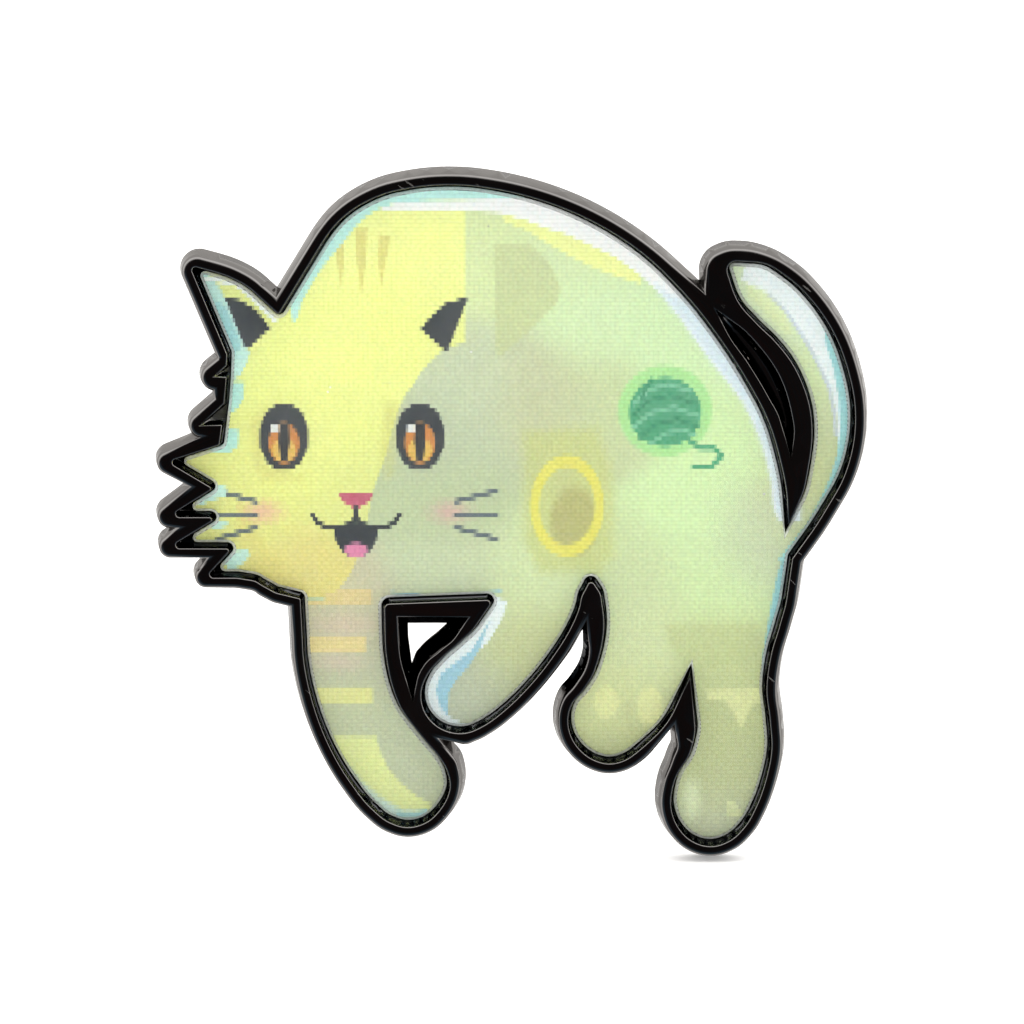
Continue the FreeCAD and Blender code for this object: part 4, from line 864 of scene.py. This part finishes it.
def studio_world():
    """A white light tent round the object, dark only where the camera stands in front, and a plain pale background."""
    w = bpy.data.worlds.new("studio")
    scene.world = w
    w.use_nodes = True
    t = w.node_tree
    t.nodes.clear()
    out = t.nodes.new("ShaderNodeOutputWorld")
    co = t.nodes.new("ShaderNodeTexCoord").outputs["Generated"]

    def dot(v):
        n = t.nodes.new("ShaderNodeVectorMath")
        n.operation = "DOT_PRODUCT"
        t.links.new(co, n.inputs[0])
        n.inputs[1].default_value = v
        return n.outputs["Value"]

    def span(x, a, b, c, d):
        n = t.nodes.new("ShaderNodeMapRange")
        n.interpolation_type = "SMOOTHSTEP"
        t.links.new(x, n.inputs["Value"])
        for k, q in zip(("From Min", "From Max", "To Min", "To Max"), (a, b, c, d)):
            n.inputs[k].default_value = q
        return n.outputs[0]

    def mul(a, b):
        n = t.nodes.new("ShaderNodeMath")
        n.operation = "MULTIPLY"
        t.links.new(a, n.inputs[0])
        if isinstance(b, float):
            n.inputs[1].default_value = b
        else:
            t.links.new(b, n.inputs[1])
        return n.outputs[0]

    front = dot((0.0, -0.981, -0.196))
    tent = span(front, math.cos(math.radians(84)), math.cos(math.radians(48)), 1.0, 0.0)
    ring = span(front, math.cos(math.radians(128)), math.cos(math.radians(100)), 1.45, 2.5)
    height = dot((0.0, 0.0, 1.0))
    fall = span(height, -0.9, 0.7, 0.66, 1.0)
    level = mul(ring, fall)
    # faint coloured reflections of the room in the dark part
    nz = t.nodes.new("ShaderNodeTexNoise")
    nz.inputs["Scale"].default_value = 26.0
    nz.inputs["Detail"].default_value = 2.0
    t.links.new(co, nz.inputs["Vector"])
    rmp = t.nodes.new("ShaderNodeValToRGB")
    e = rmp.color_ramp.elements
    stops = [(0.30, (0.030, 0.050, 0.070)), (0.42, (0.014, 0.014, 0.014)), (0.58, (0.022, 0.020, 0.019)), (0.72, (0.110, 0.016, 0.014))]
    while len(e) < len(stops):
        e.new(0.5)
    for i, (p, c) in enumerate(stops):
        e[i].position = p
        e[i].color = (*c, 1.0)
    t.links.new(nz.outputs["Fac"], rmp.inputs["Fac"])
    # the dark part is bluish low down
    low = t.nodes.new("ShaderNodeMix")
    low.data_type, low.blend_type = "RGBA", "ADD"
    t.links.new(mul(span(height, 0.02, -0.42, 0.0, 1.0), span(front, 0.97, 0.80, 0.0, 1.0)), low.inputs["Factor"])
    t.links.new(rmp.outputs["Color"], low.inputs[6])
    low.inputs[7].default_value = (0.10, 0.165, 0.215, 1.0)
    mx = t.nodes.new("ShaderNodeMix")
    mx.data_type = "RGBA"
    t.links.new(tent, mx.inputs["Factor"])
    t.links.new(low.outputs[2], mx.inputs[6])
    white = t.nodes.new("ShaderNodeCombineColor")
    for i, k in enumerate((1.0, 0.985, 0.965)):
        t.links.new(mul(level, k), white.inputs[i])
    t.links.new(white.outputs[0], mx.inputs[7])
    tentbg = t.nodes.new("ShaderNodeBackground")
    t.links.new(mx.outputs[2], tentbg.inputs["Color"])
    plain = t.nodes.new("ShaderNodeBackground")
    plain.inputs["Color"].default_value = (1.0, 1.0, 1.0, 1.0)
    path = t.nodes.new("ShaderNodeLightPath")
    m = t.nodes.new("ShaderNodeMixShader")
    t.links.new(path.outputs["Is Camera Ray"], m.inputs[0])
    t.links.new(tentbg.outputs[0], m.inputs[1])
    t.links.new(plain.outputs[0], m.inputs[2])
    t.links.new(m.outputs[0], out.inputs["Surface"])


studio_world()
scene.view_settings.view_transform = "Standard"
scene.view_settings.look = "None"

TILT, REACH = math.radians(11.3), 0.208
cam = bpy.data.cameras.new("camera")
cam.lens, cam.sensor_width = 118.48, 36.0
cam.clip_start, cam.clip_end = 0.005, 20.0
eye = bpy.data.objects.new("camera", cam)
scene.collection.objects.link(eye)
eye.location = (0.0, -0.002 - REACH * math.cos(TILT), -0.002 + REACH * math.sin(TILT))
eye.rotation_euler = (math.pi / 2 - TILT, 0.0, 0.0)
scene.camera = eye
